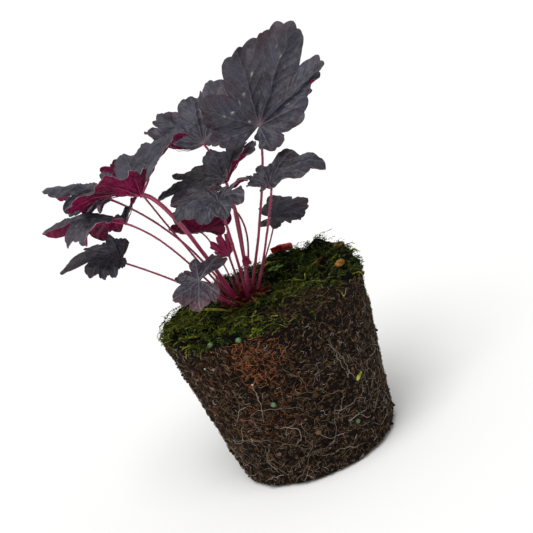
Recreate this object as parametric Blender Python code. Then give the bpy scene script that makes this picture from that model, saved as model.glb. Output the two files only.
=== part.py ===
"""Heuchera plant with a bare root ball, a mat of moss on top and a loose rosette of ruffled leaves.

Sizes are in millimetres and MM turns them into metres. The plant stands at the origin on the flat foot
of its root ball, +Z up, and its front is towards -Y.
"""

import math
from dataclasses import dataclass

import bmesh
import bpy
from mathutils import Matrix, Vector, noise
from mathutils.bvhtree import BVHTree

MM = 0.001
GAP = 0.3

BALL_TOP_RADIUS = 59.5
BALL_FOOT_RADIUS = 46.0
BALL_HEIGHT = 95.0
BALL_FOOT_ROUNDING = 4.0
BALL_RELIEF = 1.1
BALL_ROUGH_ROUND = 9.0
BALL_ROUGH_UP = 0.16
BALL_FOOT_HEIGHTS = (0.0, 0.6, 2.0)
BALL_COLUMNS = 48
BALL_ROWS = 13

CROWN_X = -8.0
CROWN_RADIUS = 12.0
CROWN_SHOULDER_Z = 100.0
CROWN_TOP_Z = 104.5
CROWN_FLOOR_Z = 88.0
CROWN_SIDES = 24
CROWN_DOME_ROWS = 6
PIT_CLEARANCE_ABOVE = 5.0
PETIOLE_FOOT_Z = 98.5
SOCKET_SLACK = 0.45
SOCKET_LENGTH = 16.0
SOCKET_STEPS = 3

MOSS_HEIGHT_INSIDE = 3.2
MOSS_HEIGHT_MIDDLE = 5.0
MOSS_HEIGHT_EDGE = 2.4
MOSS_EDGE_RADIUS = 60.5
MOSS_RAMP = 8.0
MOSS_MOUNDS = ((47, 26, 6.0, 20.0), (18, 48, 2.5, 14.0), (-38, -14, 2.0, 16.0), (24, -30, 1.5, 12.0))
MOSS_RELIEF = 2.0
MOSS_LUMP_SCALE = 0.13
MOSS_TUFT_SCALE = 0.31
MOSS_TUFT_SHARE = 0.5
MOSS_RIM_RELIEF = 1.2
MOSS_RIM_SCALE = 4.0
MOSS_COLUMNS = 54
MOSS_ROWS = 7

BLADE_THICKNESS = 0.7
STEPS_PER_TOOTH = 3
COARSE_ROWS = (0.36, 0.66)
FINE_ROWS = (0.86, 1.0)
SMALL_REACH = 8.0
NOTCH_DEPTH = 0.24
NOTCH_SHARPNESS = 3.0
TOOTH_DEPTH = 0.9
TOOTH_DEPTH_PER_REACH = 0.018
TOOTH_SHARPNESS = 1.3
STRAIGHT_BEND = 0.001
PETIOLE_SIDES = 6
PETIOLE_STEPS = 9
PETIOLE_END_INSET = 0.8

PRILL_RADIUS = 1.5
SCRAP_SLACK = 0.35
SCRAP_STEPS = 5
SCRAP_END_WIDTH = 0.45
SCRAP_DROP = 20.0

LEAF_MATERIAL = ((0.075, 0.062, 0.075), 0.42)
YOUNG_MATERIAL = ((0.33, 0.012, 0.085), 0.45)
SOIL_MATERIAL = ((0.030, 0.018, 0.011), 0.95)
MOSS_MATERIAL = ((0.075, 0.110, 0.012), 0.90)
CROWN_MATERIAL = ((0.130, 0.020, 0.030), 0.60)
STRAW_MATERIAL = ((0.550, 0.420, 0.110), 0.70)
BARK_MATERIAL = ((0.180, 0.085, 0.035), 0.85)
OLD_RED_MATERIAL = ((0.520, 0.020, 0.030), 0.40)


@dataclass(frozen=True)
class Leaf:
    """One leaf: where its blade sits, the lobes round its petiole's end, and the petiole's own run.

    attach is the petiole's end. heading, pitch and roll turn the blade's frame, in degrees. funnel is the
    blade's slope where it leaves the petiole. Each lobe is (bearing, reach, slope at the tip), from the
    right basal lobe round to the left one. dips are the depths of the notches before, between and after
    the lobes, as shares of the reach. foot is the petiole's (bearing, distance) from the crown's middle,
    and belly is the point that its middle passes through. teeth is the number of rounded teeth a lobe has.
    """

    name: str
    attach: tuple
    heading: float
    pitch: float
    roll: float
    funnel: float
    lobes: tuple
    foot: tuple
    radii: tuple
    belly: tuple = ()
    dips: tuple = ()
    ruffle: float = 1.2
    teeth: int = 3
    solver: str = "EXACT"


LEAVES = (
    Leaf("leaf_top", (35, 4, 187), 35, 40, 50, 14,
         ((-140, 17, 0), (-50, 30, 10), (-30, 49, 10), (0, 60, 15), (35, 44, 25), (100, 35, 30),
          (140, 32, 35)),
         foot=(15, 3.5), radii=(0.8, 0.6), belly=(23, 7, 151),
         dips=(0.3, 0.45, 0.12, 0.3, 0.05, 0.42, 0.2, 0.3), ruffle=1.6, teeth=4),
    Leaf("leaf_back_left", (3, 32, 184), 70, 35, 5, 12,
         ((-100, 15, 15), (-20, 43, 5), (10, 36, 0), (50, 34, 25), (80, 35, 45), (120, 25, 80)),
         foot=(75, 4.5), radii=(0.8, 0.6), belly=(6, 20, 146), dips=(0.3, 0.3, 0.12, 0.12, 0.15, 0.2, 0.3)),
    Leaf("leaf_centre_high", (7, -2, 166), 120, -5, -5, 45,
         ((-148, 20, 25), (-115, 28, 0), (-75, 30, 15), (-30, 30, 15), (15, 33, 0), (50, 42, -20),
          (82, 34, -35), (118, 18, -30), (155, 16, 0)),
         foot=(-40, 4.0), radii=(0.8, 0.7), belly=(4, 1, 142),
         dips=(0.3, 0.2, 0.25, 0.2, 0.25, 0.25, 0.2, 0.1, 0.1, 0.3), ruffle=1.8),
    Leaf("leaf_centre_low", (-1, -29, 161), 160, 5, 0, 58,
         ((-150, 22, 0), (-110, 14, 0), (-70, 14, 0), (-35, 21, 0), (5, 29, -30), (45, 31, -50),
          (85, 22, -75), (120, 20, -75), (155, 22, -30)),
         foot=(-75, 7.0), radii=(0.8, 0.7), belly=(-2, -22, 145),
         dips=(0.2, 0.2, 0.2, 0.2, 0.2, 0.25, 0.12, 0.1, 0.15, 0.3), ruffle=1.6, teeth=2),
    Leaf("leaf_right", (28, -16, 157), 20, 0, 0, 45,
         ((-140, 12, -15), (-95, 12, -10), (-50, 26, -30), (-18, 36, -45), (15, 27, 10), (70, 18, 30),
          (115, 16, 30), (152, 14, 5)),
         foot=(-10, 7.5), radii=(0.65, 0.55), belly=(20, -10, 138),
         dips=(0.3, 0.3, 0.3, 0.35, 0.3, 0.3, 0.2, 0.2, 0.3), ruffle=1.5, teeth=2),
    Leaf("leaf_right_small", (24, 20, 131), 20, -5, 20, 30,
         ((-150, 13, -15), (-100, 17, 0), (-45, 20, -10), (0, 24, -15), (45, 20, -10), (115, 11, 5)),
         foot=(40, 8.0), radii=(0.45, 0.4), belly=(16, 14, 119),
         dips=(0.12, 0.12, 0.12, 0.12, 0.12, 0.12, 0.12)),
    Leaf("leaf_left_cupped", (-37, -26, 182), 140, -15, 5, 45,
         ((-110, 47, 5), (-80, 48, 15), (-50, 44, 25), (0, 32, 0), (35, 36, -15), (60, 42, -10),
          (95, 32, 10), (140, 20, 35), (185, 18, 35)),
         foot=(-135, 5.5), radii=(1.15, 1.2), belly=(-25, -22, 161),
         dips=(0.2, 0.3, 0.15, 0.3, 0.2, 0.12, 0.15, 0.1, 0.1, 0.2)),
    Leaf("leaf_left_high", (-55, 2, 180), 160, 13, -9, 50,
         ((-75, 20, 0), (-40, 28, -50), (-15, 44, -60), (10, 40, -20), (35, 29, -60), (58, 21, -65),
          (82, 12, -50)),
         foot=(175, 5.5), radii=(0.65, 0.55), belly=(-29, 3, 144),
         dips=(0.2, 0.2, 0.15, 0.2, 0.3, 0.12, 0.12, 0.3), ruffle=1.4),
    Leaf("leaf_left_middle", (-50, -30, 172), 175, 1, 8, 50,
         ((-135, 18, 35), (-97, 20, -10), (-65, 27, -75), (-35, 28, -75), (-10, 50, -35), (12, 37, -55),
          (34, 29, -55), (66, 9, 10)),
         foot=(-155, 8.5), radii=(0.6, 0.5), belly=(-33, -20, 146),
         dips=(0.2, 0.2, 0.15, 0.12, 0.4, 0.35, 0.1, 0.3, 0.3), ruffle=1.4, teeth=2),
    Leaf("leaf_left_low", (-62, -12, 149), -175, 5, 0, 50,
         ((-130, 14, 30), (-85, 18, 50), (-45, 20, 20), (-8, 38, -40), (20, 22, -60), (45, 21, -75),
          (70, 19, -75), (98, 13, -40)),
         foot=(-172, 8.5), radii=(0.55, 0.5), belly=(-40, -14, 129),
         dips=(0.2, 0.2, 0.2, 0.3, 0.4, 0.12, 0.12, 0.12, 0.3), ruffle=1.0, teeth=2),
    Leaf("leaf_front_low", (-26, -33, 129), -150, -15, -25, 10,
         ((-175, 20, -10), (-130, 17, -20), (-75, 12, 10), (5, 21, 15), (45, 22, -10), (85, 17, -20)),
         foot=(-118, 8.5), radii=(0.65, 0.6), belly=(-20, -23, 113),
         dips=(0.2, 0.25, 0.3, 0.35, 0.15, 0.12, 0.25), ruffle=1.0),
    Leaf("leaf_back_inner", (-18, 16, 141), 65, -10, 10, 10,
         ((-70, 15, -25), (-55, 21, 25), (5, 20, 70), (80, 20, 70), (125, 18, 20)),
         foot=(120, 6.5), radii=(0.45, 0.4), belly=(-13, 10, 128), teeth=2, solver="MANIFOLD"),
    Leaf("leaf_back_middle", (-8, 30, 156), 120, 0, 10, 20,
         ((-90, 13, 5), (-45, 16, 40), (0, 16, 55), (45, 17, 30), (105, 12, 20)),
         foot=(100, 8.0), radii=(0.6, 0.5), belly=(7, 21, 134), teeth=2),
    Leaf("leaf_left_small", (-42, 22, 183), -170, 30, 50, 5,
         ((-80, 6, 25), (-25, 12, 25), (0, 18, 20), (45, 16, 10), (85, 13, -10)),
         foot=(155, 7.0), radii=(0.6, 0.5), belly=(-30, 6, 146), ruffle=0.8, teeth=2),
    Leaf("leaf_young", (-7, -2, 126), 110, 75, -20, 5,
         ((-45, 8, 15), (-20, 14, 5), (0, 14, 5), (30, 14, 20), (50, 9, 40)),
         foot=(-110, 1.5), radii=(0.7, 0.6), dips=(0.4, 0.4, 0.4, 0.4, 0.4, 0.4), ruffle=0.6,
         solver="MANIFOLD"),
    Leaf("leaf_bud", (1, -7, 120), 80, 70, 0, 20,
         ((-110, 3, 40), (-50, 4, 60), (0, 6, 50), (50, 4, 60), (110, 3, 40)),
         foot=(-90, 4.2), radii=(0.5, 0.45), ruffle=0.0, teeth=2),
)

YOUNG_LEAVES = ("leaf_young", "leaf_bud")


@dataclass(frozen=True)
class Scrap:
    """A scrap of leaf, straw or bark that lies on the moss or sticks to the ball's side.

    start and end are the ends of its middle line before it is seated, lift is how far its edges curl up.
    """

    name: str
    start: tuple
    end: tuple
    width: float
    thickness: float
    lift: float
    look: tuple


MOSS_SCRAPS = (
    Scrap("dry_stalk", (-31, 1, 105), (-17, -13, 105), 1.8, 1.2, 0.0, STRAW_MATERIAL),
    Scrap("old_leaf_red", (16, 51, 105), (29, 49, 105), 6.0, 0.7, 4.0, OLD_RED_MATERIAL),
    Scrap("wood_chip", (46, -12, 105), (51, -8, 105), 3.2, 1.4, 0.0, BARK_MATERIAL),
    Scrap("bark_flake", (36, 2, 105), (41, 6, 105), 3.0, 1.0, 0.0, BARK_MATERIAL),
    Scrap("dry_leaf_scrap", (50, 8, 105), (56, 14, 105), 4.0, 0.7, 2.5, BARK_MATERIAL),
    Scrap("yellow_leaf_scrap", (8, 34, 105), (13, 36, 105), 2.6, 0.7, 1.0, STRAW_MATERIAL),
)
SIDE_SCRAP = Scrap("green_leaf_scrap", (31.5, -41.0, 46.0), (35.5, -38.5, 48.5), 2.0, 0.7, 0.0,
                   STRAW_MATERIAL)
MOSS_PRILLS = ((-2, -17), (-18, -56), (-33, -47))
SIDE_PRILLS = ((25, -43, 23), (-14, -52, 55))
SHEATH_BEARINGS = (-97, -45, 15, 68, 118, 158, -137)
SHEATH_HEIGHT = 7.0
SHEATH_WIDTH = 5.0
SHEATH_THICKNESS = 0.9
SHEATH_LEAN = 25.0
SHEATH_OUTLINE = ((0.0, 0.8), (0.45, 1.0), (0.8, 0.6), (1.0, 0.15))
SHEATH_BOW = 1.2
SHEATH_INSET = 2.5
SHEATH_ROOT = 1.0


def clear_scene():
    """Remove every object of the open file."""
    for item in list(bpy.data.objects):
        bpy.data.objects.remove(item)


def material(name, look):
    """Return a plain material with the colour and roughness of look."""
    colour, roughness = look
    made = bpy.data.materials.new(name)
    made.use_nodes = True
    shader = made.node_tree.nodes["Principled BSDF"]
    shader.inputs["Base Color"].default_value = (*colour, 1.0)
    shader.inputs["Roughness"].default_value = roughness
    shader.inputs["Metallic"].default_value = 0.0
    return made


def add_object(name, points, faces, look=None):
    """Make an object from points in millimetres, with every face turned outwards."""
    mesh = bpy.data.meshes.new(name)
    mesh.from_pydata([tuple(c * MM for c in p) for p in points], [], faces)
    shell = bmesh.new()
    shell.from_mesh(mesh)
    bmesh.ops.recalc_face_normals(shell, faces=shell.faces)
    shell.to_mesh(mesh)
    shell.free()
    mesh.shade_smooth()
    made = bpy.data.objects.new(name, mesh)
    bpy.context.scene.collection.objects.link(made)
    if look is not None:
        mesh.materials.append(material(name, look))
    return made


def apply_modifiers(target):
    """Bake the object's modifiers into its mesh."""
    bpy.context.view_layer.update()
    graph = bpy.context.evaluated_depsgraph_get()
    baked = bpy.data.meshes.new_from_object(target.evaluated_get(graph))
    target.modifiers.clear()
    target.data = baked


def combine(target, operation, others, solver="EXACT"):
    """Union the target with other objects, or cut them from it, and remove them."""
    for other in others:
        step = target.modifiers.new(operation.lower(), "BOOLEAN")
        step.operation = operation
        step.solver = solver
        step.object = other
        apply_modifiers(target)
        bpy.data.objects.remove(other)
    return target


def blade_axes(leaf):
    """The blade's forward, left and up directions."""
    turn = Matrix.Rotation(math.radians(leaf.heading), 3, "Z")
    turn = turn @ Matrix.Rotation(math.radians(-leaf.pitch), 3, "Y")
    turn = turn @ Matrix.Rotation(math.radians(leaf.roll), 3, "X")
    return turn.col[0].copy(), turn.col[1].copy(), turn.col[2].copy()


def between_lobes(values, t):
    """Smooth value at place t along the lobes, which are at whole numbers."""
    last = len(values) - 1
    i = min(max(int(math.floor(t)), 0), last - 1)
    f = t - i
    here = values[i]
    after = values[i + 1]
    before = values[i - 1] if i > 0 else 2 * here - after
    beyond = values[i + 2] if i + 2 <= last else 2 * after - here
    curve = 2 * before - 5 * here + 4 * after - beyond
    cubic = -before + 3 * here - 3 * after + beyond
    return 0.5 * (2 * here + (after - before) * f + curve * f * f + cubic * f ** 3)


def margin_share(leaf, t, reach):
    """How far the leaf's edge reaches at t, as a share of the lobes' reach there."""
    i = int(math.floor(t))
    notch = 1 - abs(2 * (t - i) - 1)
    dip = leaf.dips[min(max(i + 1, 0), len(leaf.dips) - 1)] if leaf.dips else NOTCH_DEPTH
    scallop = abs(math.cos(math.pi * leaf.teeth * t))
    tooth = (TOOTH_DEPTH + TOOTH_DEPTH_PER_REACH * reach) / max(reach, SMALL_REACH)
    return 1 - dip * notch ** NOTCH_SHARPNESS - tooth * (1 - scallop) ** TOOTH_SHARPNESS


def blade_point(leaf, axes, t, share):
    """Point of the blade at place t round it, a share of the way out to its edge."""
    bearing = math.radians(between_lobes([lobe[0] for lobe in leaf.lobes], t))
    reach = between_lobes([lobe[1] for lobe in leaf.lobes], t)
    start = math.radians(leaf.funnel)
    bend = math.radians(between_lobes([lobe[2] for lobe in leaf.lobes], t)) - start
    bend = bend if abs(bend) > STRAIGHT_BEND else STRAIGHT_BEND
    angle = start + bend * share * margin_share(leaf, t, reach)
    out = reach * (math.sin(angle) - math.sin(start)) / bend
    rise = -reach * (math.cos(angle) - math.cos(start)) / bend
    rise += leaf.ruffle * share ** 2 * math.sin(2 * math.pi * t)
    forward, left, up = axes
    level = forward * out * math.cos(bearing) + left * out * math.sin(bearing)
    return Vector(leaf.attach) + level + up * rise


def bridge_rows(inner, outer):
    """Triangles between two rows of points, where the outer row has one or more steps for each inner one."""
    steps = (len(outer) - 1) // (len(inner) - 1)
    turn_at = (steps + 1) // 2
    faces = []
    for i in range(len(inner) - 1):
        for k in range(steps):
            near = inner[i] if k < turn_at else inner[i + 1]
            faces.append((near, outer[i * steps + k], outer[i * steps + k + 1]))
        faces.append((inner[i], outer[i * steps + turn_at], inner[i + 1]))
    return faces


def blade(leaf):
    """The blade: rows of triangles round the petiole's end, given its thickness downwards."""
    axes = blade_axes(leaf)
    coarse = len(leaf.lobes) * leaf.teeth
    rows = [(share, coarse) for share in COARSE_ROWS]
    rows += [(share, coarse * STEPS_PER_TOOTH) for share in FINE_ROWS]
    if max(lobe[1] for lobe in leaf.lobes) <= SMALL_REACH:
        rows = [rows[1], rows[-1]]
    points = [Vector(leaf.attach)]
    faces = []
    before = None
    for share, steps in rows:
        row = list(range(len(points), len(points) + steps + 1))
        points += [blade_point(leaf, axes, -0.5 + len(leaf.lobes) * k / steps, share)
                   for k in range(steps + 1)]
        if before is None:
            faces += [(0, row[k], row[k + 1]) for k in range(steps)]
        else:
            faces += bridge_rows(before, row)
        before = row
    mesh = bpy.data.meshes.new(leaf.name)
    mesh.from_pydata([p * MM for p in points], [], faces)
    made = bpy.data.objects.new(leaf.name, mesh)
    bpy.context.scene.collection.objects.link(made)
    skin = made.modifiers.new("thickness", "SOLIDIFY")
    skin.thickness = BLADE_THICKNESS * MM
    skin.offset = -1.0
    apply_modifiers(made)
    return made


def petiole_controls(leaf):
    """The four control points of the petiole's curve, from its foot in the crown to the blade."""
    bearing, distance = leaf.foot
    turn = math.radians(bearing)
    foot = Vector((CROWN_X + distance * math.cos(turn), distance * math.sin(turn), PETIOLE_FOOT_Z))
    axes = blade_axes(leaf)
    middle_lobe = (len(leaf.lobes) - 1) / 2
    end = blade_point(leaf, axes, middle_lobe, PETIOLE_END_INSET / max(lobe[1] for lobe in leaf.lobes))
    end -= axes[2] * BLADE_THICKNESS * 0.5
    middle = (foot + end) / 2
    corner = 2 * Vector(leaf.belly) - middle if leaf.belly else middle
    return foot, foot + (corner - foot) * 2 / 3, end + (corner - end) * 2 / 3, end


def curve_point(controls, share):
    """Point a share of the way along a cubic curve."""
    a, b, c, d = controls
    rest = 1 - share
    return a * rest ** 3 + b * 3 * rest ** 2 * share + c * 3 * rest * share ** 2 + d * share ** 3


def tube(name, centres, radii, sides):
    """A closed tube through the centres."""
    points = []
    side = (centres[1] - centres[0]).orthogonal()
    for i, centre in enumerate(centres):
        along = (centres[min(i + 1, len(centres) - 1)] - centres[max(i - 1, 0)]).normalized()
        side = (side - along * along.dot(side)).normalized()
        other = along.cross(side)
        for k in range(sides):
            turn = 2 * math.pi * k / sides
            points.append(centre + (side * math.cos(turn) + other * math.sin(turn)) * radii[i])
    faces = [tuple(range(sides)), tuple((len(centres) - 1) * sides + k for k in range(sides))]
    for row in range(len(centres) - 1):
        for k in range(sides):
            near = row * sides + k
            beside = row * sides + (k + 1) % sides
            faces.append((near, beside, beside + sides, near + sides))
    return add_object(name, points, faces)


def petiole(leaf):
    """The petiole as a tapering tube."""
    controls = petiole_controls(leaf)
    shares = [k / PETIOLE_STEPS for k in range(PETIOLE_STEPS + 1)]
    foot, tip = leaf.radii
    radii = [foot + (tip - foot) * s for s in shares]
    return tube(leaf.name + "_petiole", [curve_point(controls, s) for s in shares], radii, PETIOLE_SIDES)


def make_leaf(leaf, look):
    """A leaf's blade and petiole, joined in one solid."""
    made = combine(blade(leaf), "UNION", [petiole(leaf)], leaf.solver)
    made.data.materials.clear()
    made.data.materials.append(material(leaf.name, look))
    made.data.shade_smooth()
    return made


def ball_radius(z):
    """The root ball's plain radius at a height, with its rounded foot."""
    radius = BALL_FOOT_RADIUS + (BALL_TOP_RADIUS - BALL_FOOT_RADIUS) * z / BALL_HEIGHT
    short = max(0.0, 1 - z / BALL_FOOT_ROUNDING)
    return radius - BALL_FOOT_ROUNDING * (1 - math.sqrt(1 - short ** 2))


def root_ball():
    """The pot-shaped ball of compost and roots, with its rough side and a pit for the crown."""
    heights = list(BALL_FOOT_HEIGHTS)
    heights += [BALL_FOOT_ROUNDING + (BALL_HEIGHT - BALL_FOOT_ROUNDING) * k / BALL_ROWS
                for k in range(BALL_ROWS + 1)]
    points = []
    for z in heights:
        for k in range(BALL_COLUMNS):
            turn = 2 * math.pi * k / BALL_COLUMNS
            around = Vector((math.cos(turn), math.sin(turn), 0)) * BALL_ROUGH_ROUND
            rough = noise.noise(around + Vector((0, 0, z * BALL_ROUGH_UP)))
            radius = ball_radius(z) + BALL_RELIEF * rough * (0.0 if z == 0 else 1.0)
            points.append((radius * math.cos(turn), radius * math.sin(turn), z))
    faces = [tuple(range(BALL_COLUMNS))]
    faces.append(tuple((len(heights) - 1) * BALL_COLUMNS + k for k in range(BALL_COLUMNS)))
    for row in range(len(heights) - 1):
        for k in range(BALL_COLUMNS):
            near = row * BALL_COLUMNS + k
            beside = row * BALL_COLUMNS + (k + 1) % BALL_COLUMNS
            faces.append((near, beside, beside + BALL_COLUMNS, near + BALL_COLUMNS))
    made = add_object("root_ball", points, faces, SOIL_MATERIAL)
    pit_top = BALL_HEIGHT + PIT_CLEARANCE_ABOVE
    pit = cylinder("pit", CROWN_RADIUS + GAP, CROWN_FLOOR_Z - GAP, pit_top, CROWN_SIDES)
    combine(made, "DIFFERENCE", [pit])
    tree = surface_of(made)
    seats = [tree.find_nearest(Vector(place) * MM)[0] for place in SIDE_PRILLS]
    return combine(made, "UNION", [prill(seat) for seat in seats])


def surface_of(target):
    """A search tree of the object's faces."""
    bpy.context.view_layer.update()
    return BVHTree.FromObject(target, bpy.context.evaluated_depsgraph_get())


def prill(place):
    """A round grain of slow fertiliser, half sunk where it lies."""
    grain = bmesh.new()
    bmesh.ops.create_icosphere(grain, subdivisions=2, radius=PRILL_RADIUS * MM,
                               matrix=Matrix.Translation(place))
    mesh = bpy.data.meshes.new("prill")
    grain.to_mesh(mesh)
    grain.free()
    made = bpy.data.objects.new("prill", mesh)
    bpy.context.scene.collection.objects.link(made)
    return made


def cylinder(name, radius, low, high, sides):
    """A plain upright cylinder round the crown's axis."""
    points = []
    for z in (low, high):
        for k in range(sides):
            turn = 2 * math.pi * k / sides
            points.append((CROWN_X + radius * math.cos(turn), radius * math.sin(turn), z))
    faces = [tuple(range(sides)), tuple(sides + k for k in range(sides))]
    faces += [(k, (k + 1) % sides, sides + (k + 1) % sides, sides + k) for k in range(sides)]
    return add_object(name, points, faces)


def moss_height(x, y):
    """Height of the moss over the ball's top: low round the crown, full in the middle, thin at the rim."""
    from_crown = max(0.0, math.hypot(x - CROWN_X, y) - CROWN_RADIUS)
    from_rim = max(0.0, MOSS_EDGE_RADIUS - math.hypot(x, y))
    lower = MOSS_HEIGHT_MIDDLE - MOSS_HEIGHT_INSIDE
    swell = MOSS_HEIGHT_MIDDLE - lower * math.exp(-from_crown / MOSS_RAMP)
    swell -= (MOSS_HEIGHT_MIDDLE - MOSS_HEIGHT_EDGE) * math.exp(-from_rim / MOSS_RAMP)
    for mound_x, mound_y, height, radius in MOSS_MOUNDS:
        swell += height * math.exp(-((x - mound_x) ** 2 + (y - mound_y) ** 2) / radius ** 2)
    lumps = noise.noise(Vector((x, y, 0)) * MOSS_LUMP_SCALE)
    tufts = noise.noise(Vector((x, y, BALL_HEIGHT)) * MOSS_TUFT_SCALE)
    return swell + MOSS_RELIEF * (lumps + MOSS_TUFT_SHARE * tufts)


def moss_grid_point(turn, share):
    """Plan place on the moss, from the crown's opening (share 0) out to the ragged rim (share 1)."""
    inner = CROWN_RADIUS + GAP
    start = Vector((CROWN_X + inner * math.cos(turn), inner * math.sin(turn)))
    ragged = noise.noise(Vector((math.cos(turn), math.sin(turn), 0)) * MOSS_RIM_SCALE)
    rim = MOSS_EDGE_RADIUS + MOSS_RIM_RELIEF * ragged
    end = Vector((rim * math.cos(turn), rim * math.sin(turn)))
    return start + (end - start) * share


def moss_mat():
    """The mat of moss over the ball's top, with the opening that the crown stands in."""
    floor = BALL_HEIGHT + GAP
    points = []
    for top in (False, True):
        for row in range(MOSS_ROWS + 1):
            share = row / MOSS_ROWS
            for k in range(MOSS_COLUMNS):
                place = moss_grid_point(2 * math.pi * k / MOSS_COLUMNS, share)
                z = BALL_HEIGHT + moss_height(place.x, place.y) if top else floor
                points.append((place.x, place.y, z))
    ring = MOSS_COLUMNS
    upper = (MOSS_ROWS + 1) * ring
    faces = []
    for row in range(MOSS_ROWS):
        for k in range(ring):
            near = row * ring + k
            beside = row * ring + (k + 1) % ring
            for base in (0, upper):
                faces.append((base + near, base + beside, base + beside + ring))
                faces.append((base + near, base + beside + ring, base + near + ring))
    for base in (0, MOSS_ROWS * ring):
        for k in range(ring):
            beside = (k + 1) % ring
            faces.append((base + k, base + beside, base + beside + upper, base + k + upper))
    made = add_object("moss_mat", points, faces, MOSS_MATERIAL)
    tree = surface_of(made)
    seats = [tree.ray_cast(Vector((x, y, BALL_HEIGHT * 2)) * MM, Vector((0, 0, -1)))[0]
             for x, y in MOSS_PRILLS]
    return combine(made, "UNION", [prill(seat) for seat in seats])


def sheath(bearing):
    """A torn leaf sheath that stands at the crown's shoulder and leans outwards."""
    turn = math.radians(bearing)
    out = Vector((math.cos(turn), math.sin(turn), 0))
    side = Vector((-math.sin(turn), math.cos(turn), 0))
    lean = math.radians(SHEATH_LEAN)
    along = Vector((0, 0, 1)) * math.cos(lean) + out * math.sin(lean)
    foot = Vector((CROWN_X, 0, CROWN_SHOULDER_Z - SHEATH_ROOT)) + out * (CROWN_RADIUS - SHEATH_INSET)
    points = []
    for depth in (0.0, SHEATH_THICKNESS):
        for share, wide in SHEATH_OUTLINE:
            for edge in (-1, 0, 1):
                spread = side * (edge * wide * SHEATH_WIDTH / 2)
                inset = out * (SHEATH_BOW * abs(edge) * wide + depth)
                points.append(foot + along * (SHEATH_HEIGHT * share) + spread - inset)
    faces = []
    for row in range(3):
        for k in range(2):
            near = row * 3 + k
            faces.append((near, near + 1, near + 4, near + 3))
            faces.append((near + 12, near + 15, near + 16, near + 13))
        for k in (0, 2):
            near = row * 3 + k
            faces.append((near, near + 3, near + 15, near + 12))
    for row in (0, 3):
        for k in range(2):
            near = row * 3 + k
            faces.append((near, near + 1, near + 13, near + 12))
    return add_object("sheath", points, faces)


def crown():
    """The woody crown: a dome on a short rootstock, with leaf sheaths and a socket for each petiole."""
    profile = [(0.0, CROWN_FLOOR_Z), (CROWN_RADIUS, CROWN_FLOOR_Z), (CROWN_RADIUS, CROWN_SHOULDER_Z)]
    for k in range(1, CROWN_DOME_ROWS):
        turn = math.pi / 2 * k / CROWN_DOME_ROWS
        profile.append((CROWN_RADIUS * math.cos(turn),
                        CROWN_SHOULDER_Z + (CROWN_TOP_Z - CROWN_SHOULDER_Z) * math.sin(turn)))
    points = [(CROWN_X, 0, CROWN_FLOOR_Z), (CROWN_X, 0, CROWN_TOP_Z)]
    for radius, z in profile[1:]:
        for k in range(CROWN_SIDES):
            turn = 2 * math.pi * k / CROWN_SIDES
            points.append((CROWN_X + radius * math.cos(turn), radius * math.sin(turn), z))
    rows = len(profile) - 1
    faces = []
    for k in range(CROWN_SIDES):
        beside = (k + 1) % CROWN_SIDES
        faces.append((0, 2 + k, 2 + beside))
        for row in range(rows - 1):
            base = 2 + row * CROWN_SIDES
            faces.append((base + k, base + beside, base + beside + CROWN_SIDES, base + k + CROWN_SIDES))
        base = 2 + (rows - 1) * CROWN_SIDES
        faces.append((1, base + k, base + beside))
    made = add_object("crown", points, faces, CROWN_MATERIAL)
    combine(made, "UNION", [sheath(bearing) for bearing in SHEATH_BEARINGS])
    sockets = []
    for leaf in LEAVES:
        controls = petiole_controls(leaf)
        stretch = SOCKET_LENGTH / (controls[3] - controls[0]).length
        first = (controls[1] - controls[0]).normalized()
        centres = [controls[0] - first * GAP]
        centres += [curve_point(controls, stretch * k / SOCKET_STEPS) for k in range(1, SOCKET_STEPS + 1)]
        radii = [leaf.radii[0] + SOCKET_SLACK] * len(centres)
        sockets.append(tube("socket", centres, radii, PETIOLE_SIDES))
    return combine(made, "DIFFERENCE", sockets)


def scrap(piece, carrier, inwards):
    """A thin scrap that follows the surface it lies on, GAP and a little above it."""
    tree = surface_of(carrier)
    start = Vector(piece.start)
    end = Vector(piece.end)
    across = (end - start).cross(inwards).normalized()
    points = []
    for layer in (0, 1):
        for i in range(SCRAP_STEPS + 1):
            share = i / SCRAP_STEPS
            half = piece.width / 2 * (SCRAP_END_WIDTH + (1 - SCRAP_END_WIDTH) * math.sin(math.pi * share))
            for edge in (-1, 0, 1):
                place = start + (end - start) * share + across * edge * half
                seat = tree.ray_cast((place - inwards * SCRAP_DROP) * MM, inwards)[0] / MM
                rise = GAP + SCRAP_SLACK + layer * piece.thickness + piece.lift * edge ** 2
                points.append(seat - inwards * rise)
    layer = (SCRAP_STEPS + 1) * 3
    faces = []
    for i in range(SCRAP_STEPS):
        for k in (0, 1):
            near = i * 3 + k
            for base in (0, layer):
                faces.append((base + near, base + near + 1, base + near + 4))
                faces.append((base + near, base + near + 4, base + near + 3))
        for k in (0, 2):
            near = i * 3 + k
            faces.append((near, near + 3, near + 3 + layer, near + layer))
    for i in (0, SCRAP_STEPS):
        for k in (0, 1):
            near = i * 3 + k
            faces.append((near, near + 1, near + 1 + layer, near + layer))
    return add_object(piece.name, points, faces, piece.look)


def main():
    """Build the plant."""
    clear_scene()
    ball = root_ball()
    moss = moss_mat()
    crown()
    for leaf in LEAVES:
        make_leaf(leaf, YOUNG_MATERIAL if leaf.name in YOUNG_LEAVES else LEAF_MATERIAL)
    for piece in MOSS_SCRAPS:
        scrap(piece, moss, Vector((0, 0, -1)))
    scrap(SIDE_SCRAP, ball, -Vector((SIDE_SCRAP.start[0], SIDE_SCRAP.start[1], 0)).normalized())


main()
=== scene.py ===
"""Looks of a heuchera plant: ruffled dark leaves, their petioles, the crown, the moss and the bare root ball.

Lengths are in millimetres until a mesh is made, and MM turns them into metres. The plant stands at the
origin on the flat foot of its root ball, +Z up, with its front towards -Y.
"""

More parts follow.
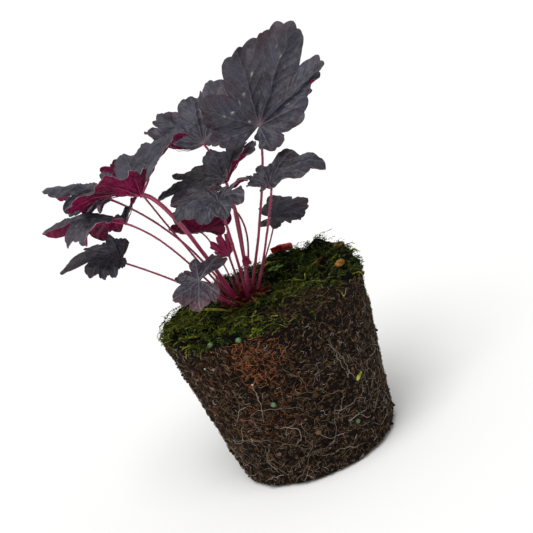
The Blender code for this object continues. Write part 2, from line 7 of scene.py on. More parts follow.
import itertools
import logging
import math
from dataclasses import dataclass, field
from enum import Enum

import bpy
import numpy as np
from mathutils import Matrix, Vector
from mathutils.bvhtree import BVHTree


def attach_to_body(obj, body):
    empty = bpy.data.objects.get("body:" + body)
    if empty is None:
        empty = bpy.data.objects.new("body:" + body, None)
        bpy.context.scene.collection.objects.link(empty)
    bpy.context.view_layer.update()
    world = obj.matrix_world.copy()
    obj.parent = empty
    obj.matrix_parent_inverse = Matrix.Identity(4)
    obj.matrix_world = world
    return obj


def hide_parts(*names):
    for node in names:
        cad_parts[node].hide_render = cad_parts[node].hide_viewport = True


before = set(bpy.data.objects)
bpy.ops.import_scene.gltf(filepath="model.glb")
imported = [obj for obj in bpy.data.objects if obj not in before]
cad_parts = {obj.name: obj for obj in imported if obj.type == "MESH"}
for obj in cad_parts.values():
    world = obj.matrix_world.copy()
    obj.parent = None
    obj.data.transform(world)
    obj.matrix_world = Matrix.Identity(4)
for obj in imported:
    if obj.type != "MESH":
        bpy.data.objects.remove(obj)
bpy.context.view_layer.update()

LOG = logging.getLogger("heuchera")
MM = 0.001
TAU = 2 * math.pi
GOLDEN_TURN = math.radians(137.5)
UP = np.array([0.0, 0.0, 1.0])
CROWN_X = -8.0
CROWN = np.array([CROWN_X, 0.0, 0.0])
BALL_HEIGHT = 95.0
COLOUR = {"output": 2, "data_type": "RGBA"}
SMOOTH = {"interpolation_type": "SMOOTHSTEP"}
HASH = (73856093, 19349663, 83492791, 2654435)
SCRAMBLE = 1274126177
LOW_BITS = 0xFFFFFFFF

Array = np.ndarray
Piece = bpy.types.Object
Material = bpy.types.Material
Random = np.random.Generator


class Sort(Enum):
    """The sorts of moss shoot in the mat."""

    GREEN = "moss_green"
    YELLOW = "moss_yellow"
    BROWN = "moss_brown"


def linear(hex_colour: str) -> tuple[float, float, float, float]:
    """Turn an sRGB hex value into a linear colour.

    Args:
        hex_colour: six hex digits after a hash.

    Returns:
        Red, green, blue and alpha for a shader socket.
    """
    parts = [int(hex_colour[k:k + 2], 16) / 255 for k in (1, 3, 5)]
    return (*(c / 12.92 if c <= 0.04045 else ((c + 0.055) / 1.055) ** 2.4 for c in parts), 1.0)


class Paint:
    """A new material with one Principled shader, to which nodes are added."""

    def __init__(self, name: str) -> None:
        """Start the material under its name."""
        self.made = bpy.data.materials.new(name)
        self.made.use_nodes = True
        self.tree = self.made.node_tree

    def join(self, node: bpy.types.Node, values: dict) -> None:
        """Set a node's inputs, by name or number, to plain values, hex colours or sockets to link."""
        for key, value in values.items():
            if isinstance(value, bpy.types.NodeSocket):
                self.tree.links.new(value, node.inputs[key])
            else:
                node.inputs[key].default_value = linear(value) if isinstance(value, str) else value

    def add(self, kind: str, values: dict | None = None, output: int | str = 0,
            **settings: object) -> bpy.types.NodeSocket:
        """Add a node with its settings and links.

        Args:
            kind: the node's type, without the prefix that all types share.
            values: a value, hex colour or socket for each input, by its name or number.
            output: the output that is returned, by its name or number.
            settings: the node's own properties.

        Returns:
            The chosen output socket.
        """
        node = self.tree.nodes.new("ShaderNode" + kind)
        for key, value in settings.items():
            setattr(node, key, value)
        self.join(node, values or {})
        return node.outputs[output]

    def finish(self, values: dict) -> Material:
        """Set the shader's own inputs, and return the material."""
        self.join(self.tree.nodes["Principled BSDF"], values)
        return self.made


def noise(places: Array, *layers: tuple) -> Array:
    """Sum smooth noises that are the same for the same seeds.

    Args:
        places: 3-D places.
        layers: each noise's height, the size of its cells and its seed.

    Returns:
        A value for each place; one layer runs from minus its height to its height.
    """
    total = np.zeros(places.shape[:-1])
    for height, size, seed in layers:
        cell = np.floor(places / size).astype(np.int64)
        part = places / size - cell
        ease = part * part * (3 - 2 * part)
        value = np.zeros(places.shape[:-1])
        for corner in itertools.product((0, 1), repeat=3):
            x, y, z = np.moveaxis(cell + np.array(corner), -1, 0)
            mixed = (x * HASH[0]) ^ (y * HASH[1]) ^ (z * HASH[2]) ^ (seed * HASH[3])
            mixed = (mixed ^ (mixed >> 13)) * SCRAMBLE & LOW_BITS
            mixed = (mixed ^ (mixed >> 16)) & LOW_BITS
            value += (mixed / 2 ** 31 - 1) * np.where(corner, ease, 1 - ease).prod(axis=-1)
        total = total + height * value
    return total


def unit(vectors: Array) -> Array:
    """The vectors at length one."""
    return vectors / np.maximum(np.linalg.norm(vectors, axis=-1, keepdims=True), 1e-9)


def xyz(x: Array, y: Array, z: Array | float = 0.0) -> Array:
    """Join coordinates into 3-D places."""
    return np.stack(np.broadcast_arrays(x, y, z), axis=-1).astype(float)


def polar(radius: Array | float, turn: Array, z: Array | float = 0.0) -> Array:
    """Join a radius, a turn about Z and a height into 3-D places."""
    return xyz(radius * np.cos(turn), radius * np.sin(turn), z)


def full_turns(count: int) -> Array:
    """Turns about an axis, evenly spread over a whole turn."""
    return np.arange(count) * TAU / count


def select_only(piece: Piece) -> None:
    """Deselect everything, then select the piece and make it active."""
    for other in bpy.context.selected_objects:
        other.select_set(False)
    piece.select_set(True)
    bpy.context.view_layer.objects.active = piece


def corner_rows(mesh: bpy.types.Mesh, what: str) -> Array:
    """A row of three numbers for each corner: its place in metres, or its normal."""
    flat = np.empty(len(mesh.vertices) * 3, np.float32)
    mesh.vertices.foreach_get(what, flat)
    return flat.reshape(-1, 3).astype(float)


def set_places(mesh: bpy.types.Mesh, places: Array) -> None:
    """Move the mesh's corners to places in millimetres."""
    mesh.vertices.foreach_set("co", (places * MM).astype(np.float32).ravel())


def add_tones(mesh: bpy.types.Mesh, tones: dict[str, Array]) -> None:
    """Add float attributes by name, one value for each corner."""
    for name, values in tones.items():
        layer = mesh.attributes.new(name, "FLOAT", "POINT")
        layer.data.foreach_set("value", values.astype(np.float32).ravel())


def mesh_piece(name: str, points: Array, faces: Array, finish: Material, tones: dict[str, Array]) -> Piece:
    """Make an object from arrays.

    Args:
        name: the piece's name.
        points: its corners, in millimetres.
        faces: triangles, as rows of three corner numbers.
        finish: its material.
        tones: float attributes by name, one value for each corner.

    Returns:
        The new object, with its place in its mesh.
    """
    mesh = bpy.data.meshes.new(name)
    mesh.vertices.add(len(points))
    set_places(mesh, points)
    mesh.loops.add(faces.size)
    mesh.loops.foreach_set("vertex_index", faces.astype(np.int32).ravel())
    mesh.polygons.add(len(faces))
    mesh.polygons.foreach_set("loop_start", np.arange(0, faces.size, 3, dtype=np.int32))
    mesh.update(calc_edges=True)
    add_tones(mesh, tones)
    mesh.validate()
    mesh.shade_smooth()
    mesh.materials.append(finish)
    made = bpy.data.objects.new(name, mesh)
    bpy.context.scene.collection.objects.link(made)
    return made


def repeat_faces(pattern: Array, count: int, stride: int) -> Array:
    """Repeat one copy's triangles for each of count copies, which have stride corners each."""
    return (pattern[None, :, :] + (np.arange(count) * stride)[:, None, None]).reshape(-1, 3)


def wall_faces(rings: int, sides: int, first: int = 0) -> Array:
    """Triangles between rings of corners.

    Args:
        rings: how many rings there are.
        sides: corners in a ring.
        first: the number of the first ring's first corner.

    Returns:
        The triangles, which face out where rings that turn anticlockwise are stacked upwards.
    """
    k = np.arange(sides)
    near = first + np.arange(rings - 1)[:, None] * sides + k
    far = near - k + (k + 1) % sides
    return np.stack([near, far, far + sides, near, far + sides, near + sides], axis=-1).reshape(-1, 3)


def tube_faces(rings: int, sides: int) -> Array:
    """Triangles of rings between two tips, where corner 0 is the first tip and the last one the other."""
    k = np.arange(sides)
    beside = (k + 1) % sides
    last = 1 + rings * sides
    first_cap = np.stack([0 * k, 1 + beside, 1 + k], axis=1)
    last_cap = np.stack([0 * k + last, last - sides + k, last - sides + beside], axis=1)
    return np.concatenate([wall_faces(rings, sides, 1), first_cap, last_cap])


def strand_piece(name: str, paths: Array, radii: Array, outward: Array, finish: Material,
                 tones: dict[str, Array], sides: int = 3) -> Piece:
    """Make thin closed strands along many paths.

    Args:
        name: the piece's name.
        paths: strand, step and axis, in millimetres.
        radii: strand and step, where the tips' radii aren't used.
        outward: a direction for each strand, roughly square to it.
        finish: their material.
        tones: float attributes by name, one value for each strand.
        sides: sides of each strand.

    Returns:
        The new object with all the strands.
    """
    count, steps, _ = paths.shape
    along = unit(np.gradient(paths, axis=1))
    side = unit(np.cross(along, outward[:, None, :]))
    other = np.cross(side, along)
    turns = full_turns(sides)
    rings = paths[:, 1:-1, None, :] + radii[:, 1:-1, None, None] * (
        side[:, 1:-1, None, :] * np.cos(turns)[:, None] + other[:, 1:-1, None, :] * np.sin(turns)[:, None])
    points = np.concatenate([paths[:, :1], rings.reshape(count, -1, 3), paths[:, -1:]], axis=1)
    each = points.shape[1]
    faces = repeat_faces(tube_faces(steps - 2, sides)[:, ::-1], count, each)
    spread = {tone: np.repeat(values, each) for tone, values in tones.items()}
    return mesh_piece(name, points.reshape(-1, 3), faces, finish, spread)


def weld(piece: Piece, gap: float, cuts: int = 0) -> None:
    """Merge corners that are closer than the gap in millimetres, then cut each edge."""
    select_only(piece)
    bpy.ops.object.mode_set(mode="EDIT")
    bpy.ops.mesh.select_all(action="SELECT")
    bpy.ops.mesh.remove_doubles(threshold=gap * MM)
    if cuts:
        bpy.ops.mesh.subdivide(number_cuts=cuts)
    bpy.ops.object.mode_set(mode="OBJECT")


def flat_sheet(name: str, columns: int, rows: int) -> tuple[Piece, Array, Array]:
    """Add a flat grid, and return it with the column and the row of each corner."""
    bpy.ops.mesh.primitive_grid_add(x_subdivisions=columns, y_subdivisions=rows, size=1.0)
    made = bpy.context.object
    made.name = made.data.name = name
    spots = (corner_rows(made.data, "co") + 0.5) * np.array([columns, rows, 1])
    return made, np.round(spots[:, 0]).astype(int), np.round(spots[:, 1]).astype(int)


def thicken(piece: Piece, thickness: float, **settings: int) -> None:
    """Give a sheet its thickness in millimetres on its lower side, and smooth it apart from its margin."""
    select_only(piece)
    skin = piece.modifiers.new("thickness", "SOLIDIFY")
    skin.thickness = thickness * MM
    skin.offset = -1.0
    for key, value in settings.items():
        setattr(skin, key, value)
    bpy.ops.object.modifier_apply(modifier=skin.name)
    bpy.ops.object.shade_smooth_by_angle(angle=math.radians(60))


@dataclass(frozen=True)
class LeafFinish:
    """Heuchera leaf: a satin, faintly downy skin that is slate grey-purple above and wine red below.

    The eye sees a soft bluish sheen above, partly the shader's own and partly a painted reflection in
    patches, pale raised nerves, and pinkish brown tissue towards the margin; the lower leaves carry painted
    shade.
    """

    slate: str = "#332d3a"
    painted_sheen: str = "#3e414d"
    shade: str = "#242229"
    blush: str = "#4f3439"
    nerve: str = "#77747e"
    painted_shade: str = "#0d0a0f"
    spot: str = "#c9bda2"
    wine: str = "#740039"
    plum: str = "#3a0019"
    pink_nerve: str = "#904a66"
    rim: str = "#786c73"
    nerve_spacing: float = 6.5
    nerve_slant: float = 1.2
    net_cell: float = 2.4
    patch_size: float = 14.0
    down_size: float = 0.45

    def nerves(self, paint: Paint, width: float, fine: float, bold: float) -> tuple:
        """Draw the nerves on the lobe's own map, in millimetres: U runs along its midrib, V across it.

        Args:
            paint: the skin's material.
            width: the midrib's half width in millimetres.
            fine: how strongly the fine net shows.
            bold: how strongly the midribs and side nerves show.

        Returns:
            A socket with the midribs and side nerves in full, and one with all the nerves as they show.
        """
        places = paint.add("UVMap", uv_map="lobe")
        along = paint.add("SeparateXYZ", {0: places})
        across = along.node.outputs[1]
        aside = paint.add("Math", {0: across}, operation="ABSOLUTE")
        left = paint.add("Math", {0: across, 1: 0.0}, operation="GREATER_THAN")
        slanted = paint.add("Math", {0: aside, 1: -self.nerve_slant, 2: along}, operation="MULTIPLY_ADD")
        steps = paint.add("Math", {0: slanted, 1: self.nerve_spacing}, operation="DIVIDE")
        shifted = paint.add("Math", {0: left, 1: 0.45, 2: steps}, operation="MULTIPLY_ADD")
        repeat = paint.add("Math", {0: shifted}, operation="FRACT")
        centred = paint.add("Math", {0: repeat, 1: 0.5}, operation="SUBTRACT")
        off = paint.add("Math", {0: centred}, operation="ABSOLUTE")
        branch = paint.add("MapRange", {0: off, 1: 0.02, 2: 0.085, 3: 0.75, 4: 0.0}, **SMOOTH)
        midrib = paint.add("MapRange", {0: aside, 1: width * 0.3, 2: width, 3: 1.0, 4: 0.0}, **SMOOTH)
        strong = paint.add("Math", {0: midrib, 1: branch}, operation="MAXIMUM")
        net_edge = paint.add("TexVoronoi", {"Vector": places, "Scale": 1 / self.net_cell}, "Distance",
                             feature="DISTANCE_TO_EDGE")
        net = paint.add("MapRange", {0: net_edge, 1: 0.01, 2: 0.14, 3: 1.0, 4: 0.0}, **SMOOTH)
        netted = paint.add("Math", {0: net, 1: fine}, operation="MULTIPLY")
        lined = paint.add("Math", {0: strong, 1: bold}, operation="MULTIPLY")
        return strong, paint.add("Math", {0: netted, 1: lined}, operation="MAXIMUM")

    def upper(self) -> Material:
        """The upper skin: slate grey with a painted bluish reflection and painted shade, pale nerves and a
        blush near the margin.
        """
        paint = Paint("leaf_upper_satin_slate")
        places = paint.add("TexCoord", output="Object")
        strong, drawn = self.nerves(paint, 0.42, 0.1, 0.26)
        clouds = paint.add("TexNoise", {"Vector": places, "Scale": 1000 / self.patch_size, "Detail": 4.0,
                                        "Roughness": 0.6})
        patch = paint.add("MapRange", {0: clouds, 1: 0.35, 2: 0.68})
        down = paint.add("TexNoise", {"Vector": places, "Scale": 1000 / self.down_size, "Detail": 2.0})
        painted_sheen, blush, painted_shade, veins, spot = (paint.add("Attribute", output="Fac", attribute_name=name)
                                          for name in ("painted_sheen", "blush", "painted_shade", "veins", "spot"))
        # Painted sheen: a bluish grey reflection of the bright room, laid on the upper skin in soft patches.
        painted_sheen_patch = paint.add("Math", {0: patch, 1: painted_sheen}, operation="MULTIPLY")
        traced = paint.add("Math", {0: drawn, 1: veins}, operation="MULTIPLY")
        hue = paint.add("Mix", {0: patch, 6: self.shade, 7: self.slate}, **COLOUR)
        # Painted shade: the leaves that hang low under the others are mixed towards near-black.
        for share, over in ((painted_sheen_patch, self.painted_sheen), (blush, self.blush), (painted_shade, self.painted_shade), (traced, self.nerve),
                            (spot, self.spot)):
            hue = paint.add("Mix", {0: share, 6: hue, 7: over}, **COLOUR)
        gloss = paint.add("MapRange", {0: down, 1: 0.3, 2: 0.7, 3: 0.42, 4: 0.62})
        height = paint.add("Math", {0: strong, 1: -0.6, 2: down}, operation="MULTIPLY_ADD")
        relief = paint.add("Bump", {"Height": height, "Distance": 0.12 * MM, "Strength": 0.5})
        return paint.finish({"Base Color": hue, "Roughness": gloss, "Normal": relief,
                             "Specular IOR Level": 0.3, "Sheen Weight": 0.06, "Sheen Roughness": 0.45,
                             "Sheen Tint": "#aab4c8"})

    def lower(self) -> Material:
        """The underside: wine red and plum in soft patches, with pink nerves."""
        paint = Paint("leaf_lower_wine_red")
        places = paint.add("TexCoord", output="Object")
        drawn = self.nerves(paint, 0.95, 0.2, 0.4)[1]
        clouds = paint.add("TexNoise", {"Vector": places, "Scale": 1000 / self.patch_size, "Detail": 3.0})
        patch = paint.add("MapRange", {0: clouds, 1: 0.35, 2: 0.62})
        ground = paint.add("Mix", {0: patch, 6: self.plum, 7: self.wine}, **COLOUR)
        hue = paint.add("Mix", {0: drawn, 6: ground, 7: self.pink_nerve}, **COLOUR)
        relief = paint.add("Bump", {"Height": drawn, "Distance": 0.3 * MM, "Strength": 0.6})
        return paint.finish({"Base Color": hue, "Roughness": 0.48, "Normal": relief,
                             "Specular IOR Level": 0.12, "Subsurface Weight": 0.12,
                             "Subsurface Radius": (0.9, 0.2, 0.3), "Subsurface Scale": 0.6 * MM})

    def edge(self) -> Material:
        """The margin: a thin, dull, pinkish grey line where the skins meet."""
        paint = Paint("leaf_margin_pale")
        places = paint.add("TexCoord", output="Object")
        patches = paint.add("TexNoise", {"Vector": places, "Scale": 1000 / 5.0, "Detail": 2.0})
        worn = paint.add("MapRange", {0: patches, 1: 0.4, 2: 0.65})
        hue = paint.add("Mix", {0: worn, 6: self.blush, 7: self.rim}, **COLOUR)
        return paint.finish({"Base Color": hue, "Roughness": 0.6})


@dataclass(frozen=True)
class StalkFinish:
    """Petiole: a crimson, grooved, watery stalk under short pale hairs, so it looks glossy and striped."""

    crimson: str = "#860f38"
    pink: str = "#b9487a"
    dark: str = "#4a0a1e"
    hair: str = "#d8b6bd"
    streak_length: float = 30.0
    streak_turns: float = 5.0

    def skin(self) -> Material:
        """Crimson skin with pale pink streaks along the stalk, darker at its foot."""
        paint = Paint("petiole_crimson_skin")
        around = paint.add("Attribute", output="Fac", attribute_name="around")
        along = paint.add("Attribute", output="Fac", attribute_name="along")
        turned = paint.add("Math", {0: around, 1: self.streak_turns}, operation="MULTIPLY")
        drawn_out = paint.add("Math", {0: along, 1: 1 / self.streak_length}, operation="MULTIPLY")
        spot = paint.add("CombineXYZ", {0: turned, 1: drawn_out})
        streaks = paint.add("TexNoise", {"Vector": spot, "Scale": 1.6, "Detail": 3.0})
        streak = paint.add("MapRange", {0: streaks, 1: 0.46, 2: 0.68})
        hue = paint.add("Mix", {0: streak, 6: self.crimson, 7: self.pink}, **COLOUR)
        foot = paint.add("MapRange", {0: along, 1: 0.0, 2: 14.0, 3: 0.55, 4: 0.0})
        shaded = paint.add("Mix", {0: foot, 6: hue, 7: self.dark}, **COLOUR)
        relief = paint.add("Bump", {"Height": streaks, "Distance": 0.2 * MM, "Strength": 0.5})
        return paint.finish({"Base Color": shaded, "Roughness": 0.38, "Normal": relief,
                             "Subsurface Weight": 0.15, "Subsurface Radius": (1.0, 0.3, 0.35),
                             "Subsurface Scale": 0.5 * MM})

    def hairs(self) -> Material:
        """Short pale hairs, thin enough to glow."""
        paint = Paint("petiole_hair_pale")
        places = paint.add("TexCoord", output="Object")
        tones = paint.add("TexNoise", {"Vector": places, "Scale": 1000 / 3.0})
        hue = paint.add("Mix", {0: tones, 6: self.pink, 7: self.hair}, **COLOUR)
        return paint.finish({"Base Color": hue, "Roughness": 0.5})


@dataclass(frozen=True)
class TonedFinish:
    """A matt plant fibre or crumb whose colour runs from its dark foot colour to its tip colour, by the tone
    attribute.
    On the moss shoots the tone rises along each shoot, a painted shade that is near-black low in the mat.

    The eye sees each strand as its own colour, because the tint attribute changes it from one to the next.
    """

    name: str
    foot: str
    middle: str
    tip: str
    odd: str
    roughness: float = 0.7

    def make(self) -> Material:
        """Return the material."""
        paint = Paint(self.name)
        tone = paint.add("Attribute", output="Fac", attribute_name="tone")
        tint = paint.add("Attribute", output="Fac", attribute_name="tint")
        low = paint.add("MapRange", {0: tone, 1: 0.0, 2: 0.5})
        high = paint.add("MapRange", {0: tone, 1: 0.5, 2: 1.0})
        hue = self.foot
        for share, over in ((low, self.middle), (high, self.tip), (tint, self.odd)):
            hue = paint.add("Mix", {0: share, 6: hue, 7: over}, **COLOUR)
        return paint.finish({"Base Color": hue, "Roughness": self.roughness, "Specular IOR Level": 0.12})


@dataclass(frozen=True)
class CrumbFinish:
    """Compost: moist, black-brown peat and bark crumbs with lighter flecks, so it looks matt and speckled.

    The bare attribute runs from a near-black painted shade under the moss and round the crown, at 0, to the
    open compost, at 1.
    """

    name: str = "compost_damp_peat"
    dark: str = "#0b0706"
    brown: str = "#291c14"
    fleck: str = "#4f3d2d"
    shade_under_moss: str = "#040402"
    crumb_size: float = 1.4
    fleck_share: float = 0.18

    def make(self) -> Material:
        """Return the material."""
        paint = Paint(self.name)
        places = paint.add("TexCoord", output="Object")
        stain = paint.add("TexNoise", {"Vector": places, "Scale": 1000 / 9.0, "Detail": 6.0,
                                       "Roughness": 0.7})
        stained = paint.add("MapRange", {0: stain, 1: 0.38, 2: 0.66})
        warp = paint.add("TexNoise", {"Vector": places, "Scale": 1000 / 1.5}, "Color")
        bent = paint.add("Mix", {0: 0.0012, 4: places, 5: warp}, 1, data_type="VECTOR")
        cells = paint.add("TexVoronoi", {"Vector": bent, "Scale": 1000 / self.crumb_size, "Randomness": 1.0},
                          "Color")
        pick = paint.add("SeparateXYZ", {0: cells})
        fleck = paint.add("MapRange", {0: pick, 1: 1 - self.fleck_share, 2: 1.0})
        mottle = paint.add("Math", {0: stained, 1: pick.node.outputs[1]}, operation="MULTIPLY")
        ground = paint.add("Mix", {0: mottle, 6: self.dark, 7: self.brown}, **COLOUR)
        flecked = paint.add("Mix", {0: fleck, 6: ground, 7: self.fleck}, **COLOUR)
        bare = paint.add("Attribute", output="Fac", attribute_name="bare")
        # Painted shade: where bare is low the soil is mixed to near-black, for the shade deep under the
        # shoots and round the crown.
        soil_and_shade = paint.add("Mix", {0: bare, 6: self.shade_under_moss, 7: flecked}, **COLOUR)
        grain = paint.add("TexNoise", {"Vector": places, "Scale": 1000 / 0.7, "Detail": 3.0})
        relief = paint.add("Bump", {"Height": grain, "Distance": 0.5 * MM, "Strength": 0.9})
        return paint.finish({"Base Color": soil_and_shade, "Roughness": 0.88, "Normal": relief,
                             "Specular IOR Level": 0.08})


@dataclass(frozen=True)
class WaxFinish:
    """A smooth, slightly waxy coat with a faint mottle, so a grain shows a soft highlight."""

    name: str
    low: str
    high: str
    roughness: float = 0.4
    glow: float = 0.15
    mottle: float = 1.2

    def make(self) -> Material:
        """Return the material."""
        paint = Paint(self.name)
        places = paint.add("TexCoord", output="Object")
        cloud = paint.add("TexNoise", {"Vector": places, "Scale": 1000 / self.mottle, "Detail": 2.0})
        hue = paint.add("Mix", {0: cloud, 6: self.low, 7: self.high}, **COLOUR)
        return paint.finish({"Base Color": hue, "Roughness": self.roughness, "Subsurface Weight": self.glow,
                             "Subsurface Scale": 0.5 * MM})


@dataclass(frozen=True)
class LeafForm:
    """One leaf's form and how it is coloured.

    attach, heading, pitch, roll, funnel, lobes, foot, radii, belly, dips, ruffle and teeth are the sizes of
    the plant's own design: the petiole's end, the blade's turn, and each lobe's bearing, reach and tip slope.
    blush and veins say how brown its margin is and how pale its nerves; painted sheen is how much bluish
    reflection is painted on its upper skin, and painted shade how far that skin is painted darker where the
    leaf hangs low under the others; turned_over shows its wine-red side above; spots are the pale marks'
    places along the lobes and shares of the way out.
    """

    name: str
    attach: tuple
    heading: float
    pitch: float
    roll: float
    funnel: float
    lobes: tuple
    foot: tuple
    radii: tuple
    belly: tuple = ()
    dips: tuple = ()
    ruffle: float = 1.2
    teeth: int = 3
    blush: float = 0.35
    painted_sheen: float = 0.7
    painted_shade: float = 0.0
    veins: float = 1.0
    turned_over: bool = False
    spots: tuple = ()


LEAVES = (
    LeafForm("leaf_top", (35, 4, 187), 35, 40, 50, 14,
             ((-140, 17, 0), (-50, 30, 10), (-30, 49, 10), (0, 60, 15), (35, 44, 25), (100, 35, 30),
              (140, 32, 35)),
             foot=(15, 3.5), radii=(0.8, 0.6), belly=(23, 7, 151),
             dips=(0.3, 0.45, 0.12, 0.3, 0.05, 0.42, 0.2, 0.3), ruffle=1.6, teeth=4, blush=0.3,
             spots=((4.8, 0.17), (4.17, 0.46), (4.75, 0.47), (5.0, 0.58), (4.4, 0.54), (2.2, 0.34),
                    (1.6, 0.53), (1.9, 0.62), (3.8, 0.61), (2.8, 0.6), (3.0, 0.66), (3.15, 0.76),
                    (2.1, 0.81))),
    LeafForm("leaf_back_left", (3, 32, 184), 70, 35, 5, 12,
             ((-100, 15, 15), (-20, 43, 5), (10, 36, 0), (50, 34, 25), (80, 35, 45), (120, 25, 80)),
             foot=(75, 4.5), radii=(0.8, 0.6), belly=(6, 20, 146),
             dips=(0.3, 0.3, 0.12, 0.12, 0.15, 0.2, 0.3)),
    LeafForm("leaf_centre_high", (7, -2, 166), 120, -5, -5, 45,
             ((-148, 20, 25), (-115, 28, 0), (-75, 30, 15), (-30, 30, 15), (15, 33, 0), (50, 42, -20),
              (82, 34, -35), (118, 18, -30), (155, 16, 0)),
             foot=(-40, 4.0), radii=(0.8, 0.7), belly=(4, 1, 142), ruffle=1.8, blush=0.6, painted_sheen=0.4, painted_shade=0.45,
             dips=(0.3, 0.2, 0.25, 0.2, 0.25, 0.25, 0.2, 0.1, 0.1, 0.3)),
    LeafForm("leaf_centre_low", (-1, -29, 161), 160, 5, 0, 58,
             ((-150, 22, 0), (-110, 14, 0), (-70, 14, 0), (-35, 21, 0), (5, 29, -30), (45, 31, -50),
              (85, 22, -75), (120, 20, -75), (155, 22, -30)),
             foot=(-75, 7.0), radii=(0.8, 0.7), belly=(-2, -22, 145), ruffle=1.6, painted_shade=0.35, veins=1.3,
             dips=(0.2, 0.2, 0.2, 0.2, 0.2, 0.25, 0.12, 0.1, 0.15, 0.3), teeth=2),
    LeafForm("leaf_right", (28, -16, 157), 20, 0, 0, 45,
             ((-140, 12, -15), (-95, 12, -10), (-50, 26, -30), (-18, 36, -45), (15, 27, 10), (70, 18, 30),
              (115, 16, 30), (152, 14, 5)),
             foot=(-10, 7.5), radii=(0.65, 0.55), belly=(20, -10, 138), ruffle=1.5, painted_shade=0.4,
             dips=(0.3, 0.3, 0.3, 0.35, 0.3, 0.3, 0.2, 0.2, 0.3), teeth=2),
    LeafForm("leaf_right_small", (24, 20, 131), 20, -5, 20, 30,
             ((-150, 13, -15), (-100, 17, 0), (-45, 20, -10), (0, 24, -15), (45, 20, -10), (115, 11, 5)),
             foot=(40, 8.0), radii=(0.45, 0.4), belly=(16, 14, 119),
             dips=(0.12, 0.12, 0.12, 0.12, 0.12, 0.12, 0.12)),
    LeafForm("leaf_left_cupped", (-37, -26, 182), 140, -15, 5, 45,
             ((-110, 47, 5), (-80, 48, 15), (-50, 44, 25), (0, 32, 0), (35, 36, -15), (60, 42, -10),
              (95, 32, 10), (140, 20, 35), (185, 18, 35)),
             foot=(-135, 5.5), radii=(1.15, 1.2), belly=(-25, -22, 161),
             dips=(0.2, 0.3, 0.15, 0.3, 0.2, 0.12, 0.15, 0.1, 0.1, 0.2), painted_sheen=1.0, blush=0.2),
    LeafForm("leaf_left_high", (-55, 2, 180), 160, 13, -9, 50,
             ((-75, 20, 0), (-40, 28, -50), (-15, 44, -60), (10, 40, -20), (35, 29, -60), (58, 21, -65),
              (82, 12, -50)),
             foot=(175, 5.5), radii=(0.65, 0.55), belly=(-29, 3, 144), ruffle=1.4, blush=0.2,
             dips=(0.2, 0.2, 0.15, 0.2, 0.3, 0.12, 0.12, 0.3)),
    LeafForm("leaf_left_middle", (-50, -30, 172), 175, 1, 8, 50,
             ((-135, 18, 35), (-97, 20, -10), (-65, 27, -75), (-35, 28, -75), (-10, 50, -35), (12, 37, -55),
              (34, 29, -55), (66, 9, 10)),
             foot=(-155, 8.5), radii=(0.6, 0.5), belly=(-33, -20, 146), ruffle=1.4,
             dips=(0.2, 0.2, 0.15, 0.12, 0.4, 0.35, 0.1, 0.3, 0.3), teeth=2),
    LeafForm("leaf_left_low", (-62, -12, 149), -175, 5, 0, 50,
             ((-130, 14, 30), (-85, 18, 50), (-45, 20, 20), (-8, 38, -40), (20, 22, -60), (45, 21, -75),
              (70, 19, -75), (98, 13, -40)),
             foot=(-172, 8.5), radii=(0.55, 0.5), belly=(-40, -14, 129), ruffle=1.0, painted_sheen=0.3, painted_shade=0.35,
             dips=(0.2, 0.2, 0.2, 0.3, 0.4, 0.12, 0.12, 0.12, 0.3), teeth=2),
    LeafForm("leaf_front_low", (-26, -33, 129), -150, -15, -25, 10,
             ((-175, 20, -10), (-130, 17, -20), (-75, 12, 10), (5, 21, 15), (45, 22, -10), (85, 17, -20)),
             foot=(-118, 8.5), radii=(0.65, 0.6), belly=(-20, -23, 113), ruffle=1.0, blush=1.1, painted_sheen=0.0,
             veins=2.0, dips=(0.2, 0.25, 0.3, 0.35, 0.15, 0.12, 0.25)),
    LeafForm("leaf_back_inner", (-18, 16, 141), 65, -10, 10, 10,
             ((-70, 15, -25), (-55, 21, 25), (5, 20, 70), (80, 20, 70), (125, 18, 20)),
             foot=(120, 6.5), radii=(0.45, 0.4), belly=(-13, 10, 128), teeth=2, painted_sheen=0.2, painted_shade=0.55,
             turned_over=True),
    LeafForm("leaf_back_middle", (-8, 30, 156), 120, 0, 10, 20,
             ((-90, 13, 5), (-45, 16, 40), (0, 16, 55), (45, 17, 30), (105, 12, 20)),
             foot=(100, 8.0), radii=(0.6, 0.5), belly=(7, 21, 134), teeth=2, painted_sheen=0.3, painted_shade=0.3),
    LeafForm("leaf_left_small", (-42, 22, 183), -170, 30, 50, 5,
             ((-80, 6, 25), (-25, 12, 25), (0, 18, 20), (45, 16, 10), (85, 13, -10)),
             foot=(155, 7.0), radii=(0.6, 0.5), belly=(-30, 6, 146), ruffle=0.8, teeth=2),
    LeafForm("leaf_young", (-7, -2, 126), 110, 75, -20, 5,
             ((-45, 8, 15), (-20, 14, 5), (0, 14, 5), (30, 14, 20), (50, 9, 40)),
             foot=(-110, 1.5), radii=(0.7, 0.6), dips=(0.4, 0.4, 0.4, 0.4, 0.4, 0.4), ruffle=0.6),
    LeafForm("leaf_bud", (1, -7, 120), 80, 70, 0, 20,
             ((-110, 3, 40), (-50, 4, 60), (0, 6, 50), (50, 4, 60), (110, 3, 40)),
             foot=(-90, 4.2), radii=(0.5, 0.45), ruffle=0.0, teeth=2),
)
YOUNG_LEAVES = ("leaf_young", "leaf_bud")


